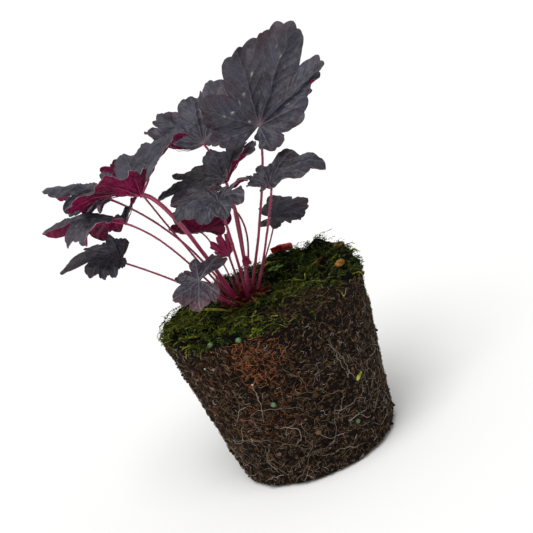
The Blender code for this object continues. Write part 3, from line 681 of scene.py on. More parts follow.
@dataclass
class Leaf:
    """A leaf: its waved blade with sunk nerves, the ribs under it, and its grooved, hairy petiole."""

    form: LeafForm
    finish: dict[str, Material]
    rows: int = 34
    thickness: float = 0.45
    cad_thickness: float = 0.7
    steps_per_tooth: int = 8
    rounding: float = 1.3
    notch_sharpness: float = 3.0
    arch: float = 1.9
    nerve_depth: float = 0.65
    branch_depth: float = 0.5
    branch_spacing: float = 6.5
    pucker: float = 0.62
    ripple: float = 1.3
    usual_reach: float = 45.0
    spot_size: float = 0.62
    spot_strength: float = 0.55
    ragged: float = 0.022
    rib_radius: float = 0.62
    rib_rows: int = 18
    rib_end: float = 0.86
    petiole_foot_z: float = 98.5
    petiole_inset: float = 0.8
    petiole_steps: int = 44
    petiole_sides: int = 10
    hair_length: float = 0.95
    hair_radius: float = 0.07
    hairs_per_mm: float = 5.0

    def axes(self) -> Array:
        """The blade's forward, left and up directions, as rows."""
        form = self.form
        turn = Matrix.Rotation(math.radians(form.heading), 3, "Z")
        turn = turn @ Matrix.Rotation(math.radians(-form.pitch), 3, "Y")
        turn = turn @ Matrix.Rotation(math.radians(form.roll), 3, "X")
        return np.array(turn.transposed())

    def column(self, number: int) -> Array:
        """One column of the lobes' table: their bearings, reaches or tip slopes."""
        return np.array([lobe[number] for lobe in self.form.lobes], float)

    def between(self, number: int, t: Array) -> Array:
        """Smooth value of a lobes' column at places t along the lobes."""
        values = self.column(number)
        padded = np.concatenate([[2 * values[0] - values[1]], values, [2 * values[-1] - values[-2]]])
        i = np.clip(np.floor(t).astype(int), 0, len(values) - 2)
        f = t - i
        before, here, after, beyond = padded[i], padded[i + 1], padded[i + 2], padded[i + 3]
        curve = 2 * before - 5 * here + 4 * after - beyond
        cubic = -before + 3 * here - 3 * after + beyond
        return 0.5 * (2 * here + (after - before) * f + curve * f * f + cubic * f ** 3)

    def margin(self, t: Array, reach: Array) -> Array:
        """The edge's share of the reach at places t, with its notches, rounded teeth and ragged line."""
        form = self.form
        i = np.floor(t).astype(int)
        notch = 1 - np.abs(2 * (t - i) - 1)
        dips = np.array(form.dips or (0.24,))
        dip = dips[np.clip(i + 1, 0, len(dips) - 1)]
        scallop = np.abs(np.cos(math.pi * form.teeth * t))
        tooth = (0.9 + 0.018 * reach) / np.maximum(reach, 8.0)
        worn = noise(xyz(t * 7.3, reach / 90, 0.3 * form.heading), (self.ragged, 1, 15)) - self.ragged / 2
        return 1 - dip * notch ** self.notch_sharpness - tooth * (1 - scallop) ** self.rounding + worn

    def surface(self, t: Array, share: Array) -> tuple[Array, Array, Array]:
        """Plain places on the blade, as in the plant's design.

        Args:
            t: place along the lobes.
            share: share of the way out to the edge.

        Returns:
            The places, how far along the blade each is from the petiole's end, and its bearing in radians.
        """
        form = self.form
        bearing = np.radians(self.between(0, t))
        reach = self.between(1, t)
        start = math.radians(form.funnel)
        bend = np.radians(self.between(2, t)) - start
        bend = np.where(np.abs(bend) > 0.001, bend, 0.001)
        length = share * self.margin(t, reach)
        angle = start + bend * length
        out = reach * (np.sin(angle) - math.sin(start)) / bend
        rise = -reach * (np.cos(angle) - math.cos(start)) / bend
        rise = rise + form.ruffle * share ** 2 * np.sin(TAU * t)
        spots = xyz(out * np.cos(bearing), out * np.sin(bearing), rise)
        return np.array(form.attach, float) + spots @ self.axes(), reach * length, bearing

    def lobe_map(self, t: Array, run: Array, bearing: Array, lobe: Array) -> Array:
        """Places on a lobe's own map: millimetres along its midrib, and across it."""
        across = bearing - np.radians(self.column(0))[lobe]
        wander = noise(xyz(t * 1.7, run / 9.0, lobe * 3.1), (0.05, 1, 5))
        bent = across + wander * np.minimum(run / 10, 1)
        return np.stack([run * np.cos(bent), run * np.sin(bent)], axis=-1)

    def relief(self, t: Array, share: Array, run: Array, bearing: Array, places: Array) -> Array:
        """How far the skin stands over the plain blade: arched between sunk nerves, puckered and rippled."""
        last = len(self.form.lobes) - 1
        lobe = np.clip(np.round(t).astype(int), 0, last)
        along, across = np.moveaxis(self.lobe_map(t, run, bearing, lobe), -1, 0)
        size = self.column(1).max() / self.usual_reach
        arch = self.arch * size * np.abs(np.sin(math.pi * t)) * np.minimum(run / 12, 1) * (1 - 0.65 * share)
        arch = np.where((t < 0) | (t > last), 0.3 * arch, arch)
        midrib = self.nerve_depth * np.exp(-(across / 1.1) ** 2) * np.minimum(run / 6, 1)
        steps = (along - np.abs(across) * 1.2) / self.branch_spacing + 0.45 * (across > 0)
        off = np.abs(steps - np.floor(steps) - 0.5) * self.branch_spacing * 0.64
        branch = self.branch_depth * np.exp(-(off / 0.8) ** 2) * np.clip((run - 5) / 8, 0, 1)
        pucker = noise(places, (self.pucker, 3.6, 11), (0.5 * self.pucker, 1.7, 12)) * np.clip(run / 8, 0, 1)
        wave = np.sin(math.pi * self.form.teeth * t + along * 0.08) + noise(places, (0.8, 7.0, 13))
        return arch - midrib - branch + pucker + self.ripple * size * share ** 5 * wave

    def blade(self) -> Piece:
        """The blade: a grid laid round the petiole's end, closed there and given its thickness."""
        form = self.form
        count = len(form.lobes)
        columns = count * form.teeth * self.steps_per_tooth
        made, column, row = flat_sheet(form.name + "_blade", columns, self.rows)
        mesh = made.data
        t_line = count - 0.5 - count * np.arange(columns + 1) / columns
        share_line = (np.arange(self.rows + 1) / self.rows) ** 0.85
        share_grid, t_grid = np.meshgrid(share_line, t_line, indexing="ij")
        plain, run, bearing = self.surface(t_grid, share_grid)
        normal = unit(np.cross(np.gradient(plain, axis=0), np.gradient(plain, axis=1)))
        normal[0] = self.axes()[2]
        normal[1] = unit(normal[1] + normal[0])
        places = plain + normal * self.relief(t_grid, share_grid, run, bearing, plain)[..., None]
        set_places(mesh, places[row, column])
        self.write_maps(mesh, t_grid[row, column], run[row, column], bearing[row, column])
        self.write_tones(mesh, t_grid[row, column], share_grid[row, column], places[row, column])
        weld(made, 0.002)
        skins = ("lower", "upper", "edge") if form.turned_over else ("upper", "lower", "edge")
        for key in skins:
            mesh.materials.append(self.finish[key])
        thicken(made, self.thickness, material_offset=1, material_offset_rim=2)
        return made

    def write_maps(self, mesh: bpy.types.Mesh, t: Array, run: Array, bearing: Array) -> None:
        """Write each lobe's own map, which the nerves are drawn on."""
        corners = np.empty(len(mesh.loops), np.int32)
        mesh.loops.foreach_get("vertex_index", corners)
        lobe = np.round(t[corners].reshape(-1, 4).mean(axis=1)).astype(int)
        lobe = np.repeat(np.clip(lobe, 0, len(self.form.lobes) - 1), 4)
        layer = mesh.uv_layers[0]
        layer.name = "lobe"
        spots = self.lobe_map(t[corners], run[corners], bearing[corners], lobe)
        layer.data.foreach_set("uv", spots.astype(np.float32).ravel())

    def write_tones(self, mesh: bpy.types.Mesh, t: Array, share: Array, places: Array) -> None:
        """Write where the skin blushes, its painted sheen and painted shade, how its veins show, and its pale
        spots.
        """
        form = self.form
        near_edge = np.clip((share - 0.55) / 0.45, 0, 1) ** 1.5
        patch = np.clip(0.5 + noise(places, (0.9, 11.0, 21)), 0, 1)
        near_foot = np.exp(-(share / 0.09) ** 2)
        blush = np.clip(form.blush * (0.25 + 1.2 * near_edge) * patch + 0.8 * near_foot, 0, 1)
        spot = np.zeros(len(t))
        for spot_t, spot_share in form.spots:
            reach = float(self.between(1, np.array([spot_t]))[0])
            aside = (t - spot_t) * spot_share * reach * 0.7 / self.spot_size
            apart = (share - spot_share) * reach / self.spot_size
            spot = np.maximum(spot, self.spot_strength * np.exp(-(aside ** 2 + apart ** 2) ** 2))
        whole = np.ones(len(t))
        # The painted shade is given leaf by leaf, a little stronger in random patches; the painted sheen is
        # even over each leaf.
        add_tones(mesh, {"blush": blush, "painted_sheen": form.painted_sheen * whole, "spot": spot,
                         "painted_shade": form.painted_shade * (0.7 + 0.6 * patch), "veins": form.veins * whole})

    def ribs(self) -> Piece:
        """The raised midribs under the blade, each tapering towards its lobe's tip."""
        form = self.form
        share_line = np.linspace(0.0, self.rib_end, self.rib_rows)
        share, t = np.meshgrid(share_line, np.arange(len(form.lobes), dtype=float), indexing="ij")
        wide_t = np.stack([t - 0.02, t, t + 0.02], axis=2).reshape(self.rib_rows, -1)
        wide_share = np.repeat(share, 3, axis=1)
        plain, run, bearing = self.surface(wide_t, wide_share)
        sunk = self.relief(wide_t, wide_share, run, bearing, plain)[:, 1::3]
        middle = plain[:, 1::3]
        normal = unit(np.cross(np.gradient(middle, axis=0), plain[:, 2::3] - plain[:, 0::3]))
        normal[0] = self.axes()[2]
        taper = np.maximum(1 - share_line[:, None] * 1.05, 0.12) * (self.column(1) / self.usual_reach) ** 0.5
        radius = self.rib_radius * taper
        lines = middle + normal * (sunk - self.thickness - 0.6 * radius)[..., None]
        made = strand_piece(form.name + "_ribs", lines.transpose(1, 0, 2), radius.T,
                            unit(normal[self.rib_rows // 2]), self.finish["stalk"], {}, 6)
        corners = len(made.data.vertices)
        add_tones(made.data, {"around": np.linspace(0, 40, corners), "along": np.full(corners, 40.0)})
        return made

    def petiole_line(self, shares: Array) -> Array:
        """Places along the petiole's curve, from its foot in the crown to the blade."""
        form = self.form
        foot = polar(form.foot[1], math.radians(form.foot[0]), self.petiole_foot_z) + CROWN
        middle_lobe = np.array([(len(form.lobes) - 1) / 2])
        inset = np.array([self.petiole_inset / self.column(1).max()])
        end = self.surface(middle_lobe, inset)[0][0] - self.axes()[2] * self.cad_thickness * 0.5
        middle = (foot + end) / 2
        corner = 2 * np.array(form.belly, float) - middle if form.belly else middle
        controls = (foot, foot + (corner - foot) * 2 / 3, end + (corner - end) * 2 / 3, end)
        rest = 1 - shares
        weights = (rest ** 3, 3 * rest ** 2 * shares, 3 * rest * shares ** 2, shares ** 3)
        return sum(w[:, None] * c for w, c in zip(weights, controls))

    def petiole_radius(self, shares: Array) -> Array:
        """The petiole's plain radius along it."""
        foot, tip = self.form.radii
        return foot + (tip - foot) * shares

    def petiole(self) -> Piece:
        """The petiole: a tapering stalk, stouter at its foot and under the blade, with a groove along it."""
        shares = np.linspace(0, 1, self.petiole_steps)
        line = self.petiole_line(shares)
        sway = xyz(noise(line, (1, 14.0, 31)), noise(line, (1, 14.0, 32)))
        line = line + 0.35 * sway * np.sin(math.pi * shares)[:, None]
        radius = self.petiole_radius(shares)
        radius = radius * (1 + 0.28 * np.exp(-shares / 0.07) + 0.35 * np.exp(-(1 - shares) / 0.03))
        radius = radius * (1 + noise(line, (0.05, 4.0, 33)))
        along = unit(np.gradient(line, axis=0))
        side = unit(np.cross(along, np.array([0.3, 1.0, 0.1])))
        other = np.cross(side, along)
        turns = full_turns(self.petiole_sides)
        groove = 1 - 0.22 * np.exp(-((turns - math.pi / 2) / 0.5) ** 2)
        ring = side[:, None, :] * np.cos(turns)[:, None] + other[:, None, :] * np.sin(turns)[:, None]
        body = line[:, None, :] + ring * (radius[:, None] * groove)[..., None]
        first, last = line[:1] - along[:1] * 0.2, line[-1:] + along[-1:] * 0.1
        points = np.concatenate([first, body.reshape(-1, 3), last])
        faces = tube_faces(self.petiole_steps, self.petiole_sides)[:, ::-1]
        run = np.concatenate([[0], np.linalg.norm(np.diff(line, axis=0), axis=1).cumsum()])
        around = np.concatenate([[0], np.tile(np.abs(turns / math.pi - 1), self.petiole_steps), [0]])
        far = np.concatenate([[0], np.repeat(run, self.petiole_sides), run[-1:]])
        return mesh_piece(self.form.name + "_petiole", points, faces, self.finish["stalk"],
                          {"around": around, "along": far})

    def hairs(self, seed: int) -> Piece:
        """Short pale hairs that stand out all round the petiole."""
        rng = np.random.default_rng(seed)
        gaps = np.diff(self.petiole_line(np.linspace(0, 1, 30)), axis=0)
        count = int(np.linalg.norm(gaps, axis=1).sum() * self.hairs_per_mm)
        shares = np.sort(rng.uniform(0.08, 0.99, count))
        line = self.petiole_line(shares)
        along = unit(self.petiole_line(np.minimum(shares + 0.01, 1.0)) - self.petiole_line(shares - 0.01))
        side = unit(np.cross(along, np.array([0.3, 1.0, 0.1])))
        other = np.cross(side, along)
        turn = rng.uniform(0, TAU, count)[:, None]
        out = side * np.cos(turn) + other * np.sin(turn)
        long = self.hair_length * rng.uniform(0.45, 1.1, count)[:, None]
        bow = rng.normal(0, 0.25, (count, 3))
        start = line + out * (self.petiole_radius(shares)[:, None] - 0.15)
        paths = np.stack([start, start + (out + 0.3 * bow) * long * 0.4, start + (out + bow) * long], axis=1)
        return strand_piece(self.form.name + "_hairs", paths, np.full((count, 3), self.hair_radius), along,
                            self.finish["hair"], {})

    def build(self, seed: int) -> list[Piece]:
        """Build the leaf's pieces; the blade stands for the CAD leaf."""
        blade = self.blade()
        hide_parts(self.form.name)
        LOG.info("%s: %d blade corners", self.form.name, len(blade.data.vertices))
        return [blade, self.ribs(), self.petiole(), self.hairs(seed)]


@dataclass
class Foliage:
    """All the leaves, grown and young."""

    finish: LeafFinish = field(default_factory=LeafFinish)
    young: LeafFinish = field(default_factory=lambda: LeafFinish(
        slate="#93083f", painted_sheen="#8a0f48", shade="#6a0329", blush="#a8225a", nerve="#c2568a", rim="#b0587e",
        wine="#93083f", plum="#6a0329"))
    stalk: StalkFinish = field(default_factory=StalkFinish)
    rows: int = 34
    young_rows: int = 16
    first_seed: int = 100

    def build(self) -> list[Piece]:
        """Build every leaf and return its pieces."""
        stalk = {"stalk": self.stalk.skin(), "hair": self.stalk.hairs()}
        looks = [{"lower": finish.lower(), "upper": finish.upper(), "edge": finish.edge(), **stalk}
                 for finish in (self.finish, self.young)]
        pieces = []
        for number, form in enumerate(LEAVES):
            young = form.name in YOUNG_LEAVES
            leaf = Leaf(form, looks[young], self.young_rows if young else self.rows)
            for piece in leaf.build(self.first_seed + number):
                pieces.append(piece)
        return pieces


@dataclass(frozen=True)
class Lay:
    """Strands of one kind on the ball's side.

    length, width (radius) and heights are ranges in millimetres, curl is how far a strand turns along its run
    in radians, steep how much more often it runs up and down than round the ball, and lift how far it stands
    out. patch is a middle turn in degrees, a middle height and a radius, where they all lie in one place.
    """

    name: str
    count: int
    length: tuple
    width: tuple
    steps: int
    curl: float
    heights: tuple
    steep: float
    lift: float
    tones: tuple
    finish: TonedFinish
    patch: tuple = ()


@dataclass
class RootBall:
    """The bare ball of compost: a rough skin of crumbs, bound by fine roots and coir."""

    height: float = BALL_HEIGHT
    top_radius: float = 59.5
    foot_radius: float = 46.0
    foot_rounding: float = 4.0
    columns: int = 320
    rows: int = 140
    clod: float = 0.8
    crumb: float = 0.6
    crumbs: int = 3800
    fibres: int = 7200
    fine_roots: int = 2200
    long_roots: int = 150
    over_rim: float = 1.7
    noise_radius: float = 52.0
    patch_radius: float = 54.0
    seed: int = 7

    def radius(self, z: Array) -> Array:
        """The ball's plain radius at a height, with its rounded foot."""
        radius = self.foot_radius + (self.top_radius - self.foot_radius) * z / self.height
        short = np.clip(1 - z / self.foot_rounding, 0, 1)
        return radius - self.foot_rounding * (1 - np.sqrt(1 - short ** 2))

    def rough(self, turn: Array, z: Array) -> Array:
        """How far the crumbly side stands out from the plain cone."""
        spot = polar(self.noise_radius, turn, z)
        rough = noise(spot, (self.clod, 9.0, 41), (0.7 * self.clod, 4.2, 42), (self.crumb, 1.9, 43))
        rough += 0.5 * self.crumb * np.abs(noise(spot, (1, 1.1, 44)))
        return rough * np.clip(z / 1.5, 0, 1) - 0.15

    def skin(self, soil: Material) -> Piece:
        """The whole surface of the ball: its flat foot, its crumbly side and its top under the moss."""
        side_z = self.height * (np.arange(self.rows + 1) / self.rows)
        side_z[1:6] = [0.15, 0.5, 1.0, 1.7, 2.6]
        z, turn = np.meshgrid(side_z, full_turns(self.columns), indexing="ij")
        radius = self.radius(z) + self.rough(turn, z)
        radius[0] = self.radius(np.zeros(1))[0] - 0.5
        points = np.concatenate([[0 * UP], polar(radius, turn, z).reshape(-1, 3), [self.height * UP]])
        made = mesh_piece("root_ball_skin", points, tube_faces(self.rows + 1, self.columns), soil,
                          {"bare": np.ones(len(points))})
        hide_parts("root_ball")
        return made

    def on_side(self, turn: Array, z: Array, lift: Array) -> Array:
        """Places over the ball's side, lift millimetres out from its crumbs."""
        return polar(self.radius(z) + self.rough(turn, z) + lift, turn, z)

    def lay(self, kind: Lay, rng: Random) -> Piece:
        """Lay strands of one kind along the ball's side.

        Args:
            kind: the strands' sizes and finish.
            rng: where the random draws come from.

        Returns:
            The new piece.
        """
        count = kind.count
        if kind.patch:
            middle, middle_z, size = kind.patch
            around, away = rng.uniform(0, TAU, count), size * np.sqrt(rng.uniform(0, 1, count))
            turn = math.radians(middle) + away * np.cos(around) / self.patch_radius
            z = middle_z + away * np.sin(around)
        else:
            turn, z = rng.uniform(0, TAU, count), rng.uniform(*kind.heights, count)
        heading = rng.normal(math.pi / 2, 1.2 / kind.steep, count) + math.pi * rng.integers(0, 2, count)
        long = rng.uniform(*kind.length, count)[:, None]
        bend = rng.normal(0, kind.curl, count)[:, None]
        wiggle = rng.uniform(0, TAU, count)[:, None]
        share = np.linspace(0, 1, kind.steps)[None, :]
        sway = np.sin(7 * share + wiggle) + 0.6 * np.sin(long * share * 0.9 + 2 * wiggle)
        angle = heading[:, None] + bend * (share - 0.5) + 0.45 * sway
        step = long / (kind.steps - 1)
        right, rise = np.cumsum(np.cos(angle) * step, axis=1), np.cumsum(np.sin(angle) * step, axis=1)
        height = np.clip(z[:, None] + rise, 0.4, self.height + self.over_rim)
        turns = turn[:, None] + right / self.radius(height)
        hop = kind.lift * rng.uniform(0.1, 1, count)[:, None] * np.sin(math.pi * share) ** 0.7
        bury = 0.25 * (1 - np.sin(math.pi * share))
        paths = self.on_side(turns, height, hop - bury)
        thick = rng.uniform(*kind.width, count)[:, None] * (1 - 0.45 * share)
        low, high = kind.tones
        tones = {"tone": low + (high - low) * rng.uniform(0, 1, count) ** 1.25,
                 "tint": rng.uniform(0, 1, count) ** 3}
        return strand_piece(kind.name, paths, thick, polar(1.0, turn), kind.finish.make(), tones)

    def grit(self, rng: Random) -> Piece:
        """Crumbs of bark and peat pressed into the side."""
        count = self.crumbs
        turn = rng.uniform(0, TAU, count)
        z = rng.uniform(1.0, self.height + 1.0, count)
        size = rng.gamma(2.2, 0.32, count).clip(0.25, 2.2)
        seat = self.on_side(turn, z, 0.05 * size)
        bpy.ops.mesh.primitive_ico_sphere_add(subdivisions=1, radius=1.0)
        pebble = bpy.context.object
        shape = corner_rows(pebble.data, "co")
        pattern = np.array([tuple(p.vertices) for p in pebble.data.polygons])
        bpy.data.objects.remove(pebble)
        squash = rng.uniform(0.35, 1.0, (count, 1, 3))
        dents = 1 + 0.3 * rng.uniform(-1, 1, (count, len(shape), 1))
        spin = rng.uniform(0, TAU, (count, 2))
        x, y, height = np.moveaxis(shape[None] * squash * dents * size[:, None, None], -1, 0)
        (cos_a, cos_b), (sin_a, sin_b) = np.cos(spin).T[..., None], np.sin(spin).T[..., None]
        x, y = x * cos_a - y * sin_a, x * sin_a + y * cos_a
        y, height = y * cos_b - height * sin_b, y * sin_b + height * cos_b
        points = (xyz(x, y, height) + seat[:, None, :]).reshape(-1, 3)
        points[:, 2] = np.clip(points[:, 2], 0.05, None)
        tones = {"tone": np.repeat(rng.uniform(0, 1, count) ** 1.6, len(shape)),
                 "tint": np.repeat((rng.uniform(0, 1, count) > 0.93).astype(float), len(shape))}
        finish = TonedFinish("bark_crumbs", "#0e0907", "#281c14", "#422f20", "#64503a", 0.9)
        return mesh_piece("root_ball_crumbs", points, repeat_faces(pattern, count, len(shape)),
                          finish.make(), tones)

    def build(self, soil: Material) -> list[Piece]:
        """Build the ball and what shows on its side, where soil is the compost's finish."""
        rng = np.random.default_rng(self.seed)
        brown = TonedFinish("peat_fibre_brown", "#170e0a", "#42301f", "#8a7460", "#7b5f3e", 0.85)
        pale = TonedFinish("fine_roots_pale", "#4a3d31", "#8f8173", "#cfc8be", "#80664a", 0.6)
        coir = TonedFinish("coir_orange_brown", "#2e1409", "#75381a", "#c97c47", "#8a6240", 0.75)
        lays = (
            Lay("root_ball_fibres", self.fibres, (1.4, 5.5), (0.07, 0.19), 6, 2.6, (1, 96.5), 0.8, 0.8,
                (0.0, 1.0), brown),
            Lay("root_ball_fine_roots", self.fine_roots, (1.8, 7.0), (0.06, 0.14), 7, 2.4, (1, 95), 1.0, 1.1,
                (0.1, 1.0), pale),
            Lay("root_ball_long_roots", self.long_roots, (14.0, 40.0), (0.09, 0.2), 24, 1.6, (3, 58), 1.3,
                0.9, (0.2, 0.95), pale),
            Lay("root_ball_coir", 170, (2.5, 8.0), (0.10, 0.24), 7, 2.4, (1, 94.5), 0.5, 1.2, (0.3, 1.0),
                coir, (-103, 83, 15)),
            Lay("root_ball_coir_low", 420, (2.0, 7.0), (0.07, 0.17), 7, 2.4, (1, 94), 0.5, 1.0,
                (0.1, 0.8), coir, (-117, 64, 34)),
        )
        LOG.info("root ball: %d strands", sum(lay.count for lay in lays))
        return [self.skin(soil), self.grit(rng), *(self.lay(lay, rng) for lay in lays)]


@dataclass(frozen=True)
class Shoot:
    """A sort of moss shoot: how many are tried, their length and stance, their leaflets and their colours.

    lift is how far a shoot's foot stands over the soil, bright the range of its tones.
    """

    sort: Sort
    tries: int
    length: tuple
    upright: float
    leaflets: int
    leaf_length: float
    leaf_width: float
    spread: float
    lift: float
    bright: tuple
    finish: TonedFinish


SHOOTS = (
    Shoot(Sort.GREEN, 6800, (2.2, 5.6), 1.1, 7, 1.5, 0.30, 0.85, -0.3, (0.1, 1.1),
          TonedFinish("moss_leaf_green", "#060802", "#495b1d", "#a6b65c", "#667a2c")),
    Shoot(Sort.YELLOW, 1500, (5.0, 12.5), 0.3, 15, 1.3, 0.30, 0.5, 1.3, (0.15, 1.3),
          TonedFinish("moss_leaf_yellow_green", "#101205", "#8b9029", "#dad968", "#aab446")),
    Shoot(Sort.BROWN, 1100, (3.0, 6.5), 0.3, 8, 1.1, 0.2, 0.6, 0.2, (0.3, 1.0),
          TonedFinish("moss_dry_brown", "#0e0905", "#4a361d", "#a5854e", "#7a6c30", 0.85)),
)


@dataclass
class Moss:
    """The mat of moss on the ball: humus under cushions and feathery shoots, thinning out to bare litter."""

    opening: float = 10.5
    edge_radius: float = 60.0
    reach: float = 61.0
    survey_reach: float = 63.0
    survey_radius: float = 59.3
    cell: float = 1.5
    rings: int = 56
    columns: int = 220
    litter_strands: int = 2400
    litter_reach: float = 59.0
    spine_steps: int = 7
    seed: int = 19

    def survey(self) -> None:
        """Measure the CAD moss's height on a square grid, by rays from above."""
        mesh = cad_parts["moss_mat"].data
        tree = BVHTree.FromPolygons([v.co for v in mesh.vertices], [p.vertices[:] for p in mesh.polygons])
        line = np.arange(-self.survey_reach, self.survey_reach + 0.1, self.cell)
        self.heights = np.full((len(line), len(line)), BALL_HEIGHT + 2.5)
        for i, j in np.ndindex(self.heights.shape):
            pull = min(1.0, self.survey_radius / max(math.hypot(line[i], line[j]), 1e-6))
            start = Vector((line[i] * pull * MM, line[j] * pull * MM, 0.2))
            hit = tree.ray_cast(start, Vector((0, 0, -1)))[0]
            if hit is not None:
                self.heights[i, j] = hit.z / MM

    def ground_height(self, x: Array, y: Array) -> Array:
        """Heights of the CAD moss under the places x and y, in millimetres."""
        last = len(self.heights) - 1.001
        u, v = (np.clip((line + self.survey_reach) / self.cell, 0, last) for line in (x, y))
        i, j = u.astype(int), v.astype(int)
        f, g = u - i, v - j
        near = self.heights[i, j] * (1 - f) + self.heights[i + 1, j] * f
        far = self.heights[i, j + 1] * (1 - f) + self.heights[i + 1, j + 1] * f
        return near * (1 - g) + far * g

    def bareness(self, x: Array, y: Array) -> Array:
        """How bare the soil is: wholly at the front right rim, and in a ring round the crown."""
        corner = np.exp(-(((x - 24) / 27) ** 2 + ((y + 42) / 19) ** 2))
        pit = np.exp(-((np.hypot(x - CROWN_X, y) - self.opening) / 5.0) ** 2)
        return np.clip(1.25 * corner + 0.75 * pit + noise(xyz(x, y), (0.3, 8.0, 55)), 0, 1)

    def low(self, x: Array, y: Array) -> Array:
        """Heights of the soil between the shoots, in millimetres."""
        crumbs = noise(xyz(x, y), (0.9, 4.0, 52), (0.7, 1.9, 53))
        bare = self.bareness(x, y)
        humps = 3.2 * np.clip(noise(xyz(x, y), (1, 7.0, 54)) + 0.15, 0, 1) * (1 - bare)
        soil = self.ground_height(x, y) - 1.7 - 0.8 * bare + crumbs + humps
        return np.maximum(soil, BALL_HEIGHT + 0.2)

    def ground(self, soil: Material) -> Piece:
        """The soil and old moss that show between the shoots, rounded over the rim into the ball's side."""
        turn = full_turns(self.columns)
        share = (np.arange(self.rings + 1) / self.rings)[:, None, None]
        start = polar(self.opening, turn) + CROWN
        end = polar(self.edge_radius - 0.6 + noise(polar(14, turn), (0.9, 1, 51)), turn)
        x, y, _ = np.moveaxis(start[None] + (end - start)[None] * share, -1, 0)
        z = self.low(x, y)
        z[-2:] -= np.array([[0.7], [1.7]])
        upper = xyz(x, y, z)
        drop = upper[-1:] * np.array([0.99, 0.99, 1.0]) - 2.6 * UP
        points = np.concatenate([upper, drop]).reshape(-1, 3)
        # The bare tone sets the ground's painted shade: near-black where the moss is thick and from the crown
        # out to 14-24 mm, compost only where the soil is bare.
        bare = np.clip(self.bareness(points[:, 0], points[:, 1]) * 1.3 - 0.2, 0.0, 1.0)
        bare = bare * np.clip((np.hypot(points[:, 0] - CROWN_X, points[:, 1]) - 14) / 10, 0, 1)
        bare[-2 * self.columns:] = 1.0
        faces = wall_faces(self.rings + 2, self.columns)[:, ::-1]
        made = mesh_piece("moss_ground", points, faces, soil, {"bare": bare})
        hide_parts("moss_mat")
        return made

    def wanted(self, sort: Sort, x: Array, y: Array) -> Array:
        """How likely a shoot of this sort grows at a place: in clumps with dark gaps between them."""
        bare = self.bareness(x, y)
        if sort is Sort.GREEN:
            clumps = 0.55 + noise(xyz(x, y), (1.3, 3.4, 58), (0.5, 8.0, 59))
            return (1 - bare) ** 1.4 * np.clip(clumps, 0.03, 1)
        if sort is Sort.YELLOW:
            # The pale yellow-green sort gathers towards the front left: partly a feathery moss that grows
            # there, partly a painted highlight where the light falls on the mat.
            front = np.clip(0.5 - y / 50 - x / 70, 0.16, 1)
            return (1 - bare) ** 1.2 * front * np.clip(0.6 + noise(xyz(x, y), (1, 6.0, 57)), 0.05, 1)
        return np.clip(bare * 0.5 + 0.15, 0, 1)

    def spines(self, shoot: Shoot, rng: Random) -> tuple[Array, Array]:
        """Middle lines and directions of a sort of shoot, spine_steps places each."""
        turn = rng.uniform(0, TAU, shoot.tries)
        away = (self.edge_radius - 0.8) * np.sqrt(rng.uniform(0.02, 1, shoot.tries))
        x, y = away * np.cos(turn), away * np.sin(turn)
        keep = rng.uniform(0, 1, shoot.tries) < self.wanted(shoot.sort, x, y)
        keep = keep & (np.hypot(x - CROWN_X, y) > self.opening + 2.5)
        x, y, turn, away = x[keep], y[keep], turn[keep], away[keep]
        count = len(x)
        rim = np.clip((away - 52) / 8, 0, 1)[:, None]
        lean = rng.normal(0, 1, (count, 3)) * np.array([0.8, 0.8, 0.15])
        start_way = unit(lean + shoot.upright * UP + polar(1.0, turn) * 0.5 * rim)
        sway = rng.normal(0, 0.35, (count, 3))
        droop = unit(start_way * np.array([1, 1, 0.2]) + sway - UP * (0.25 + 0.7 * rim))
        long = rng.uniform(*shoot.length, count)
        steps = np.linspace(0, 1, self.spine_steps)[:, None]
        way = unit(start_way[:, None, :] * (1 - steps) + droop[:, None, :] * steps)
        spine = np.cumsum(way * (long / (self.spine_steps - 1))[:, None, None], axis=1)
        spine = xyz(x, y, self.low(x, y) + shoot.lift)[:, None, :] + spine - spine[:, :1]
        far = np.hypot(spine[..., 0], spine[..., 1])
        spine[..., :2] *= (np.minimum(far, self.reach + 0.25 * (far - self.reach)) / far)[..., None]
        return spine, way

    def shoots(self, shoot: Shoot, rng: Random) -> Piece:
        """Leafy shoots of one sort, whose leaflets are slim closed wedges set round each spine.

        Args:
            shoot: the sort of shoot.
            rng: where the random draws come from.

        Returns:
            The new piece.
        """
        spine, way = self.spines(shoot, rng)
        count = len(spine)
        bright = rng.uniform(*shoot.bright, count)[:, None]
        side = unit(np.cross(way, np.array([0.31, 0.17, 0.93])))
        other = np.cross(side, way)
        places, tones = [], []
        gaps = self.spine_steps - 1
        for k in range(shoot.leaflets):
            last = k == shoot.leaflets - 1
            share = 0.97 if last else (k + 1) / (shoot.leaflets + 0.5)
            step = min(int(share * gaps), gaps - 1)
            mix = share * gaps - step
            base = spine[:, step] * (1 - mix) + spine[:, step + 1] * mix
            around = (k * GOLDEN_TURN + rng.uniform(0, 6.28, count))[:, None]
            out = side[:, step] * np.cos(around) + other[:, step] * np.sin(around)
            point = unit(way[:, step] + out * (0.05 if last else shoot.spread - 0.2 * share))
            long = shoot.leaf_length * rng.uniform(0.8, 1.25, count)[:, None] * (1.15 - 0.35 * share)
            wide = shoot.leaf_width * (1.1 - 0.4 * share)
            across = unit(np.cross(point, out + 0.01))
            belly = base + point * long * 0.4 + np.cross(across, point) * 0.12
            tip = base + point * long
            places.append(np.stack([base, belly + across * wide, tip, belly - across * wide], axis=1))
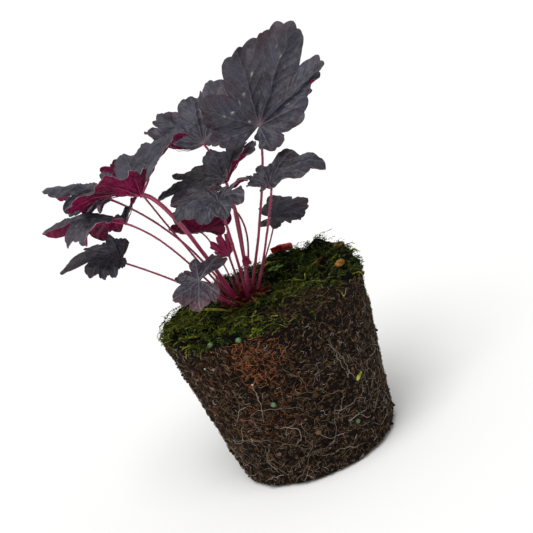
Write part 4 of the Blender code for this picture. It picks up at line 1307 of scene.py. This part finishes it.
            # Painted shade: each leaflet's tone rises from near-black low on the shoot to bright at its tip,
            # for the shade deep in the mat.
            tone = np.array([share * 0.6, share * 0.85, 0.1 + share * 0.9, share * 0.85])
            tones.append(np.minimum(bright * tone, 1.0))
        wedge = np.array([(0, 2, 1), (0, 3, 2), (0, 1, 3), (1, 2, 3)])
        tint = np.repeat(rng.uniform(0, 0.8, count) ** 2.5, shoot.leaflets * 4)
        LOG.info("%s: %d shoots", shoot.sort.value, count)
        return mesh_piece(shoot.sort.value, np.stack(places, axis=1).reshape(-1, 3),
                          repeat_faces(wedge, count * shoot.leaflets, 4), shoot.finish.make(),
                          {"tone": np.stack(tones, axis=1), "tint": tint})

    def litter(self, rng: Random) -> Piece:
        """Tan and brown fibres that lie on the bare soil and run out over the rim."""
        turn = rng.uniform(0, TAU, self.litter_strands)
        away = (self.edge_radius - 1.2) * np.sqrt(rng.uniform(0.05, 1, self.litter_strands))
        x, y = away * np.cos(turn), away * np.sin(turn)
        keep = rng.uniform(0, 1, self.litter_strands) < 0.06 + 0.94 * self.bareness(x, y) ** 1.5
        keep = keep & (np.hypot(x - CROWN_X, y) > self.opening + 5)
        x, y = x[keep], y[keep]
        count = len(x)
        share = np.linspace(0, 1, 6)[None, :]
        angle = rng.uniform(0, TAU, count)[:, None] + rng.normal(0, 1.5, count)[:, None] * share
        step = rng.uniform(1.5, 6.5, count)[:, None] / 5
        run_x = x[:, None] + np.cumsum(np.cos(angle) * step, axis=1)
        run_y = y[:, None] + np.cumsum(np.sin(angle) * step, axis=1)
        pull = np.minimum(1.0, self.litter_reach / np.hypot(run_x, run_y))
        run_x, run_y = run_x * pull, run_y * pull
        hop = rng.uniform(0.0, 1.3, count)[:, None] * np.sin(math.pi * share)
        width = rng.uniform(0.08, 0.26, count)[:, None] * (1 - 0.4 * share)
        tones = {"tone": rng.uniform(0, 1, count) ** 1.7, "tint": rng.uniform(0, 1, count) ** 4}
        finish = TonedFinish("litter_fibre_tan", "#160e09", "#3b2b1c", "#7d674a", "#6d6a2c", 0.85)
        LOG.info("moss_litter: %d strands", count)
        return strand_piece("moss_litter", xyz(run_x, run_y, self.low(run_x, run_y) + hop - 0.1), width,
                            np.tile([[0.1, 0.1, 1.0]], (count, 1)), finish.make(), tones)

    def build(self, soil: Material) -> list[Piece]:
        """Build the ground, the shoots and the litter, where soil is the ball's own finish."""
        self.survey()
        rng = np.random.default_rng(self.seed)
        return [self.ground(soil), *(self.shoots(shoot, rng) for shoot in SHOOTS), self.litter(rng)]


@dataclass
class Crown:
    """The crown: a knobbly dark red rootstock wrapped in torn, papery leaf bases."""

    radius: float = 11.8
    floor_z: float = 90.0
    shoulder_z: float = 99.5
    top_z: float = 104.0
    wall_share: float = 0.4
    dome_rows: int = 40
    dome_columns: int = 96
    sheaths: int = 46
    sheath_rows: int = 9
    sheath_columns: int = 7
    seed: int = 23

    def dome(self) -> Piece:
        """The knobbly dome that the petioles rise from."""
        share = np.arange(self.dome_rows + 1) / self.dome_rows
        wall = share < self.wall_share
        over = (share - self.wall_share) / (1 - self.wall_share)
        z_line = np.where(wall, self.floor_z + (self.shoulder_z - self.floor_z) * share / self.wall_share,
                          self.shoulder_z + (self.top_z - self.shoulder_z) * np.sin(over * math.pi / 2))
        r_line = np.where(wall, self.radius, self.radius * np.cos(np.clip(over, 0, 0.995) * math.pi / 2))
        r, t = np.meshgrid(r_line, full_turns(self.dome_columns), indexing="ij")
        spot = polar(r, t, z_line[:, None])
        bump = noise(spot, (0.8, 3.4, 61), (0.5, 1.5, 62)) * np.where(r > 0.5, 1.0, 0.3) - 0.5
        way = unit(polar(r, t, np.where(spot[..., 2] > self.shoulder_z, 5.0, 0.1)))
        body = (spot + way * bump[..., None]).reshape(-1, 3)
        points = np.concatenate([[self.floor_z * UP], body, [(self.top_z - 0.5) * UP]]) + CROWN
        tones = {"tone": np.clip(0.35 + noise(points, (0.4, 2.6, 63)), 0, 1),
                 "tint": np.clip(noise(points, (1, 5.0, 64)), 0, 1)}
        finish = TonedFinish("rootstock_bark_red", "#160506", "#3b040d", "#67231d", "#4b2a10")
        faces = tube_faces(self.dome_rows + 1, self.dome_columns)
        made = mesh_piece("crown_dome", points, faces, finish.make(), tones)
        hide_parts("crown")
        return made

    def plate_faces(self) -> Array:
        """Triangles of a sheath: its front's grid of corners, its back's, and the strips between them."""
        rows, columns = self.sheath_rows, self.sheath_columns
        grid = np.arange(rows * columns).reshape(rows, columns)
        near, right, up, across = grid[:-1, :-1], grid[:-1, 1:], grid[1:, :-1], grid[1:, 1:]
        front = np.stack([near, right, across, near, across, up], axis=-1).reshape(-1, 3)
        here = np.concatenate([grid[0, :-1], grid[:-1, -1], grid[-1, :0:-1], grid[:0:-1, 0]])
        beside = np.roll(here, -1)
        back = rows * columns
        rim = np.stack([beside, here, beside + back, here, here + back, beside + back], axis=-1)
        return np.concatenate([front, front[:, ::-1] + back, rim.reshape(-1, 3)])

    def sheath(self, rng: Random, number: int) -> tuple[Array, Array]:
        """One torn leaf base: its places and tones."""
        turn = number * GOLDEN_TURN + rng.normal(0, 0.2)
        away = 3.2 + 8.3 * math.sqrt((number + 0.5) / self.sheaths)
        out, aside = polar(1.0, turn), polar(1.0, turn + math.pi / 2)
        lean = math.radians(8 + 34 * (away / 11.5) ** 2 + rng.normal(0, 6))
        long, wide = rng.uniform(6.0, 13.0) * (1.15 - 0.045 * away), rng.uniform(2.6, 5.0)
        foot = np.array([CROWN_X, 0, self.shoulder_z + 4.2 * math.cos(min(away / 12, 1) * math.pi / 2) - 1.6])
        share = np.linspace(0, 1, self.sheath_rows)[:, None]
        edge = np.linspace(-1, 1, self.sheath_columns)[None, :]
        torn = 1 - 0.24 * rng.uniform(0, 1, (1, self.sheath_columns))
        bend = lean + 0.45 * share
        up = long * share * torn * np.cos(bend)
        over = long * share * torn * np.sin(bend) - 0.42 * wide * edge ** 2 * (1 - 0.3 * share)
        width = wide / 2 * (1 - 0.72 * share ** 2.2) * edge
        plan = foot + out * away + up[..., None] * UP + over[..., None] * out + width[..., None] * aside
        plan = plan + noise(plan, (0.25, 2.0, 66))[..., None] * out
        inner = plan - 0.28 * out - 0.05 * UP
        tone = 0.15 + 0.3 * share + 0.55 * np.clip(share * torn - 0.72, 0, 1) * 3.2 + 0.18 * edge ** 2
        tone = np.clip(tone, 0, 1).reshape(-1)
        return np.concatenate([plan.reshape(-1, 3), inner.reshape(-1, 3)]), np.concatenate([tone, tone * 0.8])

    def wraps(self) -> Piece:
        """All the torn leaf bases round the petioles' feet."""
        rng = np.random.default_rng(self.seed)
        points, tones, tints = [], [], []
        for number in range(self.sheaths):
            some, tone = self.sheath(rng, number)
            points.append(some)
            tones.append(tone)
            tints.append(np.full(len(some), rng.uniform(0, 1) ** 3))
        finish = TonedFinish("sheath_papery_red", "#3a0410", "#7c0628", "#b98a76", "#64381f", 0.5)
        return mesh_piece("crown_sheaths", np.concatenate(points),
                          repeat_faces(self.plate_faces(), self.sheaths, len(points[0])), finish.make(),
                          {"tone": np.concatenate(tones), "tint": np.concatenate(tints)})

    def build(self) -> list[Piece]:
        """Build the dome and its torn leaf bases."""
        return [self.dome(), self.wraps()]


@dataclass(frozen=True)
class Scrap:
    """A loose scrap: the CAD piece it keeps the form of, how far its skin is crumpled, and its finish."""

    node: str
    crumple: float
    slot: str
    finish: TonedFinish


SCRAPS = (
    Scrap("dry_stalk", 0.25, "straw",
          TonedFinish("stalk_dry_yellow", "#3d3a12", "#8c8428", "#bcae54", "#6d6420", 0.6)),
    Scrap("old_leaf_red", 0.5, "old_leaf",
          TonedFinish("old_leaf_waxy_red", "#6a030a", "#bb141e", "#e2706c", "#8f2a14", 0.3)),
    Scrap("wood_chip", 0.4, "bark",
          TonedFinish("wood_chip_tan", "#2c170b", "#7d5128", "#a9793f", "#54361c", 0.8)),
    Scrap("bark_flake", 0.4, "bark",
          TonedFinish("bark_flake_brown", "#1e1009", "#523219", "#7d5631", "#3a2412", 0.85)),
    Scrap("dry_leaf_scrap", 0.7, "bark",
          TonedFinish("dry_leaf_curled_brown", "#1d120a", "#59401f", "#90733f", "#6a5a2a", 0.75)),
    Scrap("yellow_leaf_scrap", 0.4, "straw",
          TonedFinish("leaf_bit_yellow", "#544a10", "#a3912e", "#c4b552", "#7b7a26", 0.6)),
    Scrap("green_leaf_scrap", 0.3, "straw",
          TonedFinish("leaf_bit_olive", "#3c4212", "#8b9430", "#b3b65a", "#6a6e22", 0.6)),
)


@dataclass
class Litter:
    """The seven loose scraps of stalk, leaf and bark on the moss and on the ball's side."""

    cuts: int = 2
    fold: float = 3.0
    grain: float = 0.8

    def scrap(self, kind: Scrap) -> Piece:
        """A crumpled, fibrous scrap laid over the CAD piece's own form.

        Args:
            kind: which scrap.

        Returns:
            The new piece.
        """
        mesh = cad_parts[kind.node].data.copy()
        made = bpy.data.objects.new(kind.node + "_fine", mesh)
        mesh.name = made.name
        bpy.context.scene.collection.objects.link(made)
        mesh.materials.clear()
        mesh.materials.append(kind.finish.make())
        weld(made, 0.01, self.cuts)
        smooth = made.modifiers.new("round", "SUBSURF")
        smooth.levels = smooth.render_levels = 1
        bpy.ops.object.modifier_apply(modifier=smooth.name)
        places = corner_rows(mesh, "co") / MM
        fold = noise(places, (1, self.fold, 71), (0.4, self.grain, 72))
        set_places(mesh, places + corner_rows(mesh, "normal") * (kind.crumple * fold)[:, None])
        # The tone follows the crumple, lighter on raised folds and darker in sunk ones: painted shade in the
        # hollows, with a little random mottle.
        add_tones(mesh, {"tone": np.clip(0.5 + 0.5 * fold + noise(places, (0.3, 1.3, 73)), 0, 1),
                         "tint": np.clip(noise(places, (1, 2.2, 74)), 0, 0.8)})
        mesh.update()
        bpy.ops.object.shade_smooth_by_angle(angle=math.radians(50))
        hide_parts(kind.node)
        LOG.info("%s: %d corners", made.name, len(places))
        return made

    def build(self) -> list[Piece]:
        """Build every scrap."""
        return [self.scrap(kind) for kind in SCRAPS]


@dataclass
class Grains:
    """Round pale green grains of fertiliser and white specks of perlite, bedded in the moss and the ball."""

    prill_radius: float = 1.5
    speck_radius: float = 0.55
    on_moss: tuple = ((-2.0, -17.0), (-18.0, -56.0), (-33.0, -47.0))
    in_side: tuple = ((25.0, -43.0, 23.0), (-14.0, -52.0, 55.0))
    specks: tuple = ((-41.0, -40.0, 84.0), (-36.0, -43.0, 83.0), (-47.0, -30.0, 76.0), (-20.0, -51.0, 70.0))

    def grain(self, name: str, place: Array, radius: float, finish: Material) -> Piece:
        """A grain: a ball, dented a little and a bit longer than wide.

        Args:
            name: the piece's name.
            place: its middle, in millimetres.
            radius: its radius, in millimetres.
            finish: its material.

        Returns:
            The new piece.
        """
        bpy.ops.mesh.primitive_ico_sphere_add(subdivisions=4, radius=radius * MM)
        made = bpy.context.object
        mesh = made.data
        made.name = mesh.name = name
        spots = corner_rows(mesh, "co") / MM
        dent = 1 + noise(spots / (0.9 * radius) + place, (0.05, 1, 81))
        set_places(mesh, spots * dent[:, None] * np.array([1.08, 0.97, 0.95]) + place)
        mesh.shade_smooth()
        mesh.materials.append(finish)
        return made

    def build(self, ball: RootBall, moss: Moss) -> list[Piece]:
        """Bed the grains in the moss and in the ball's side.

        Args:
            ball: the ball that carries the side's grains.
            moss: the mat that carries the others.

        Returns:
            The new pieces.
        """
        coat = WaxFinish("fertiliser_prill_pale_green", "#31502f", "#5f8455").make()
        white = WaxFinish("perlite_white", "#b9b4a8", "#e8e4dc", 0.9, 0.0).make()
        pieces = []
        for number, (x, y) in enumerate(self.on_moss):
            z = float(moss.low(np.array([x]), np.array([y]))[0]) + 0.3
            piece = self.grain(f"prill_top_{number + 1}", np.array([x, y, z]), self.prill_radius, coat)
            pieces.append(piece)
        sides = (("prill_side", self.in_side, self.prill_radius, coat),
                 ("perlite", self.specks, self.speck_radius, white))
        for name, places, radius, finish in sides:
            for number, (x, y, z) in enumerate(places):
                turn = np.array([math.atan2(y, x)])
                place = ball.on_side(turn, np.array([z]), np.array([-0.25 * radius]))[0]
                pieces.append(self.grain(f"{name}_{number + 1}", place, radius, finish))
        return pieces


@dataclass
class Seedling:
    """A weed seedling in the moss: a flat rosette of small rounded leaves on short stalks."""

    place: tuple = (14.0, 19.0)
    leaves: int = 7
    leaf_length: float = 3.0
    leaf_width: float = 2.2
    thickness: float = 0.25
    stalk: float = 2.0
    columns: int = 14
    rows: int = 8

    def leaf(self, number: int, middle: Array, finish: Material) -> Piece:
        """A spoon-shaped leaf that rises from the rosette's middle and bends over.

        Args:
            number: which leaf.
            middle: the rosette's middle, in millimetres.
            finish: its material.

        Returns:
            The new piece.
        """
        made, column, row = flat_sheet(f"seedling_leaf_{number + 1}", self.columns, self.rows)
        share, edge = column / self.columns, 2 * row / self.rows - 1
        size = 1 - 0.06 * number
        whole = self.stalk + self.leaf_length
        stalk_part = self.stalk / whole
        blade = np.clip((share - stalk_part) / (1 - stalk_part), 0, 1)
        width = 0.22 + self.leaf_width / 2 * np.sqrt(np.clip(1 - (2 * blade - 1) ** 2, 0, 1)) * (blade > 0)
        width = np.where(share > 0.995, 0.15, width)
        up = 0.9 * np.sin(share * 2.2) * size + 0.35 * edge ** 2 * blade + 0.12 * number
        turn = number * GOLDEN_TURN
        out, aside = polar(share * whole * size, turn), polar(edge * width * size, turn + math.pi / 2)
        set_places(made.data, middle + out + aside + up[:, None] * UP)
        add_tones(made.data, {"tone": 0.35 + 0.45 * blade - 0.25 * np.exp(-(edge / 0.15) ** 2),
                              "tint": np.full(len(share), 0.1 * number)})
        thicken(made, self.thickness)
        made.data.materials.append(finish)
        return made

    def build(self, moss: Moss) -> list[Piece]:
        """Build the rosette in the moss that it grows in."""
        green = TonedFinish("seedling_leaf_fresh_green", "#22360c", "#4c7222", "#86a84a", "#6a8a2c", 0.5)
        finish = green.make()
        x, y = self.place
        z = float(moss.low(np.array([x]), np.array([y]))[0]) + 2.6
        return [self.leaf(number, np.array([x, y, z]), finish) for number in range(self.leaves)]


@dataclass
class Studio:
    """A plain pale floor, soft light, and a camera at the photograph's angle."""

    target: tuple = (10.0, 0.0, 112.0)
    distance: float = 700.0
    elevation: float = 17.0
    roll: float = 22.0
    lens: float = 84.4
    floor_colour: str = "#f4f4f3"

    def camera(self) -> None:
        """Set the camera, turned about its view because the plant is seen at a slant."""
        low, roll = math.radians(self.elevation), math.radians(self.roll)
        back = Vector((0, -math.cos(low), math.sin(low)))
        level, upright = Vector((1, 0, 0)), Vector((0, math.sin(low), math.cos(low)))
        right = level * math.cos(roll) - upright * math.sin(roll)
        up = level * math.sin(roll) + upright * math.cos(roll)
        data = bpy.data.cameras.new("camera")
        data.sensor_width = 36.0
        data.lens = self.lens
        made = bpy.data.objects.new("camera", data)
        bpy.context.scene.collection.objects.link(made)
        turn = Matrix((right, up, back)).transposed().to_4x4()
        made.matrix_world = Matrix.Translation((Vector(self.target) + back * self.distance) * MM) @ turn
        bpy.context.scene.camera = made

    def floor(self) -> None:
        """A wide, plain, pale floor."""
        bpy.ops.mesh.primitive_circle_add(vertices=96, radius=60.0, fill_type="NGON")
        made = bpy.context.object
        made.name = made.data.name = "floor"
        paint = Paint("floor_matt_white").finish({"Base Color": self.floor_colour, "Roughness": 0.9})
        made.data.materials.append(paint)

    def lamp(self, name: str, side: tuple, spread: float, power: float) -> None:
        """A broad soft light, as even as a bright wall or a large window, from one side.

        Args:
            name: the light's name.
            side: the side it comes from.
            spread: how wide it looks from the plant, in degrees.
            power: its strength.
        """
        data = bpy.data.lights.new(name, "SUN")
        data.angle = math.radians(spread)
        data.energy = power
        made = bpy.data.objects.new(name, data)
        bpy.context.scene.collection.objects.link(made)
        made.rotation_euler = (-Vector(side)).to_track_quat("-Z", "Y").to_euler()

    def build(self) -> None:
        """Build the floor, the lights, the pale surroundings and the camera."""
        self.floor()
        self.lamp("key", (-0.1, -0.35, 0.9), 38.0, 2.1)
        self.lamp("fill", (-0.7, -0.7, 0.35), 60.0, 0.35)
        world = bpy.data.worlds.new("pale_room")
        bpy.context.scene.world = world
        world.use_nodes = True
        sky = world.node_tree.nodes["Background"]
        sky.inputs[0].default_value = linear("#ffffff")
        sky.inputs[1].default_value = 0.5
        bpy.context.scene.view_settings.view_transform = "Standard"
        self.camera()


def main() -> None:
    """Build the plant and its studio."""
    logging.basicConfig(level=logging.INFO, format="%(name)s %(message)s")
    ball, moss, crown, foliage = RootBall(), Moss(), Crown(), Foliage()
    soil = CrumbFinish().make()
    for piece in ball.build(soil):
        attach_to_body(piece, "root")
    for piece in moss.build(soil):
        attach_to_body(piece, "root")
    for piece in crown.build():
        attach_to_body(piece, "root")
    for piece in (*foliage.build(), *Litter().build(), *Grains().build(ball, moss)):
        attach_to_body(piece, "root")
    for piece in Seedling().build(moss):
        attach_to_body(piece, "root")
    Studio().build()


if __name__ == "__main__":
    main()
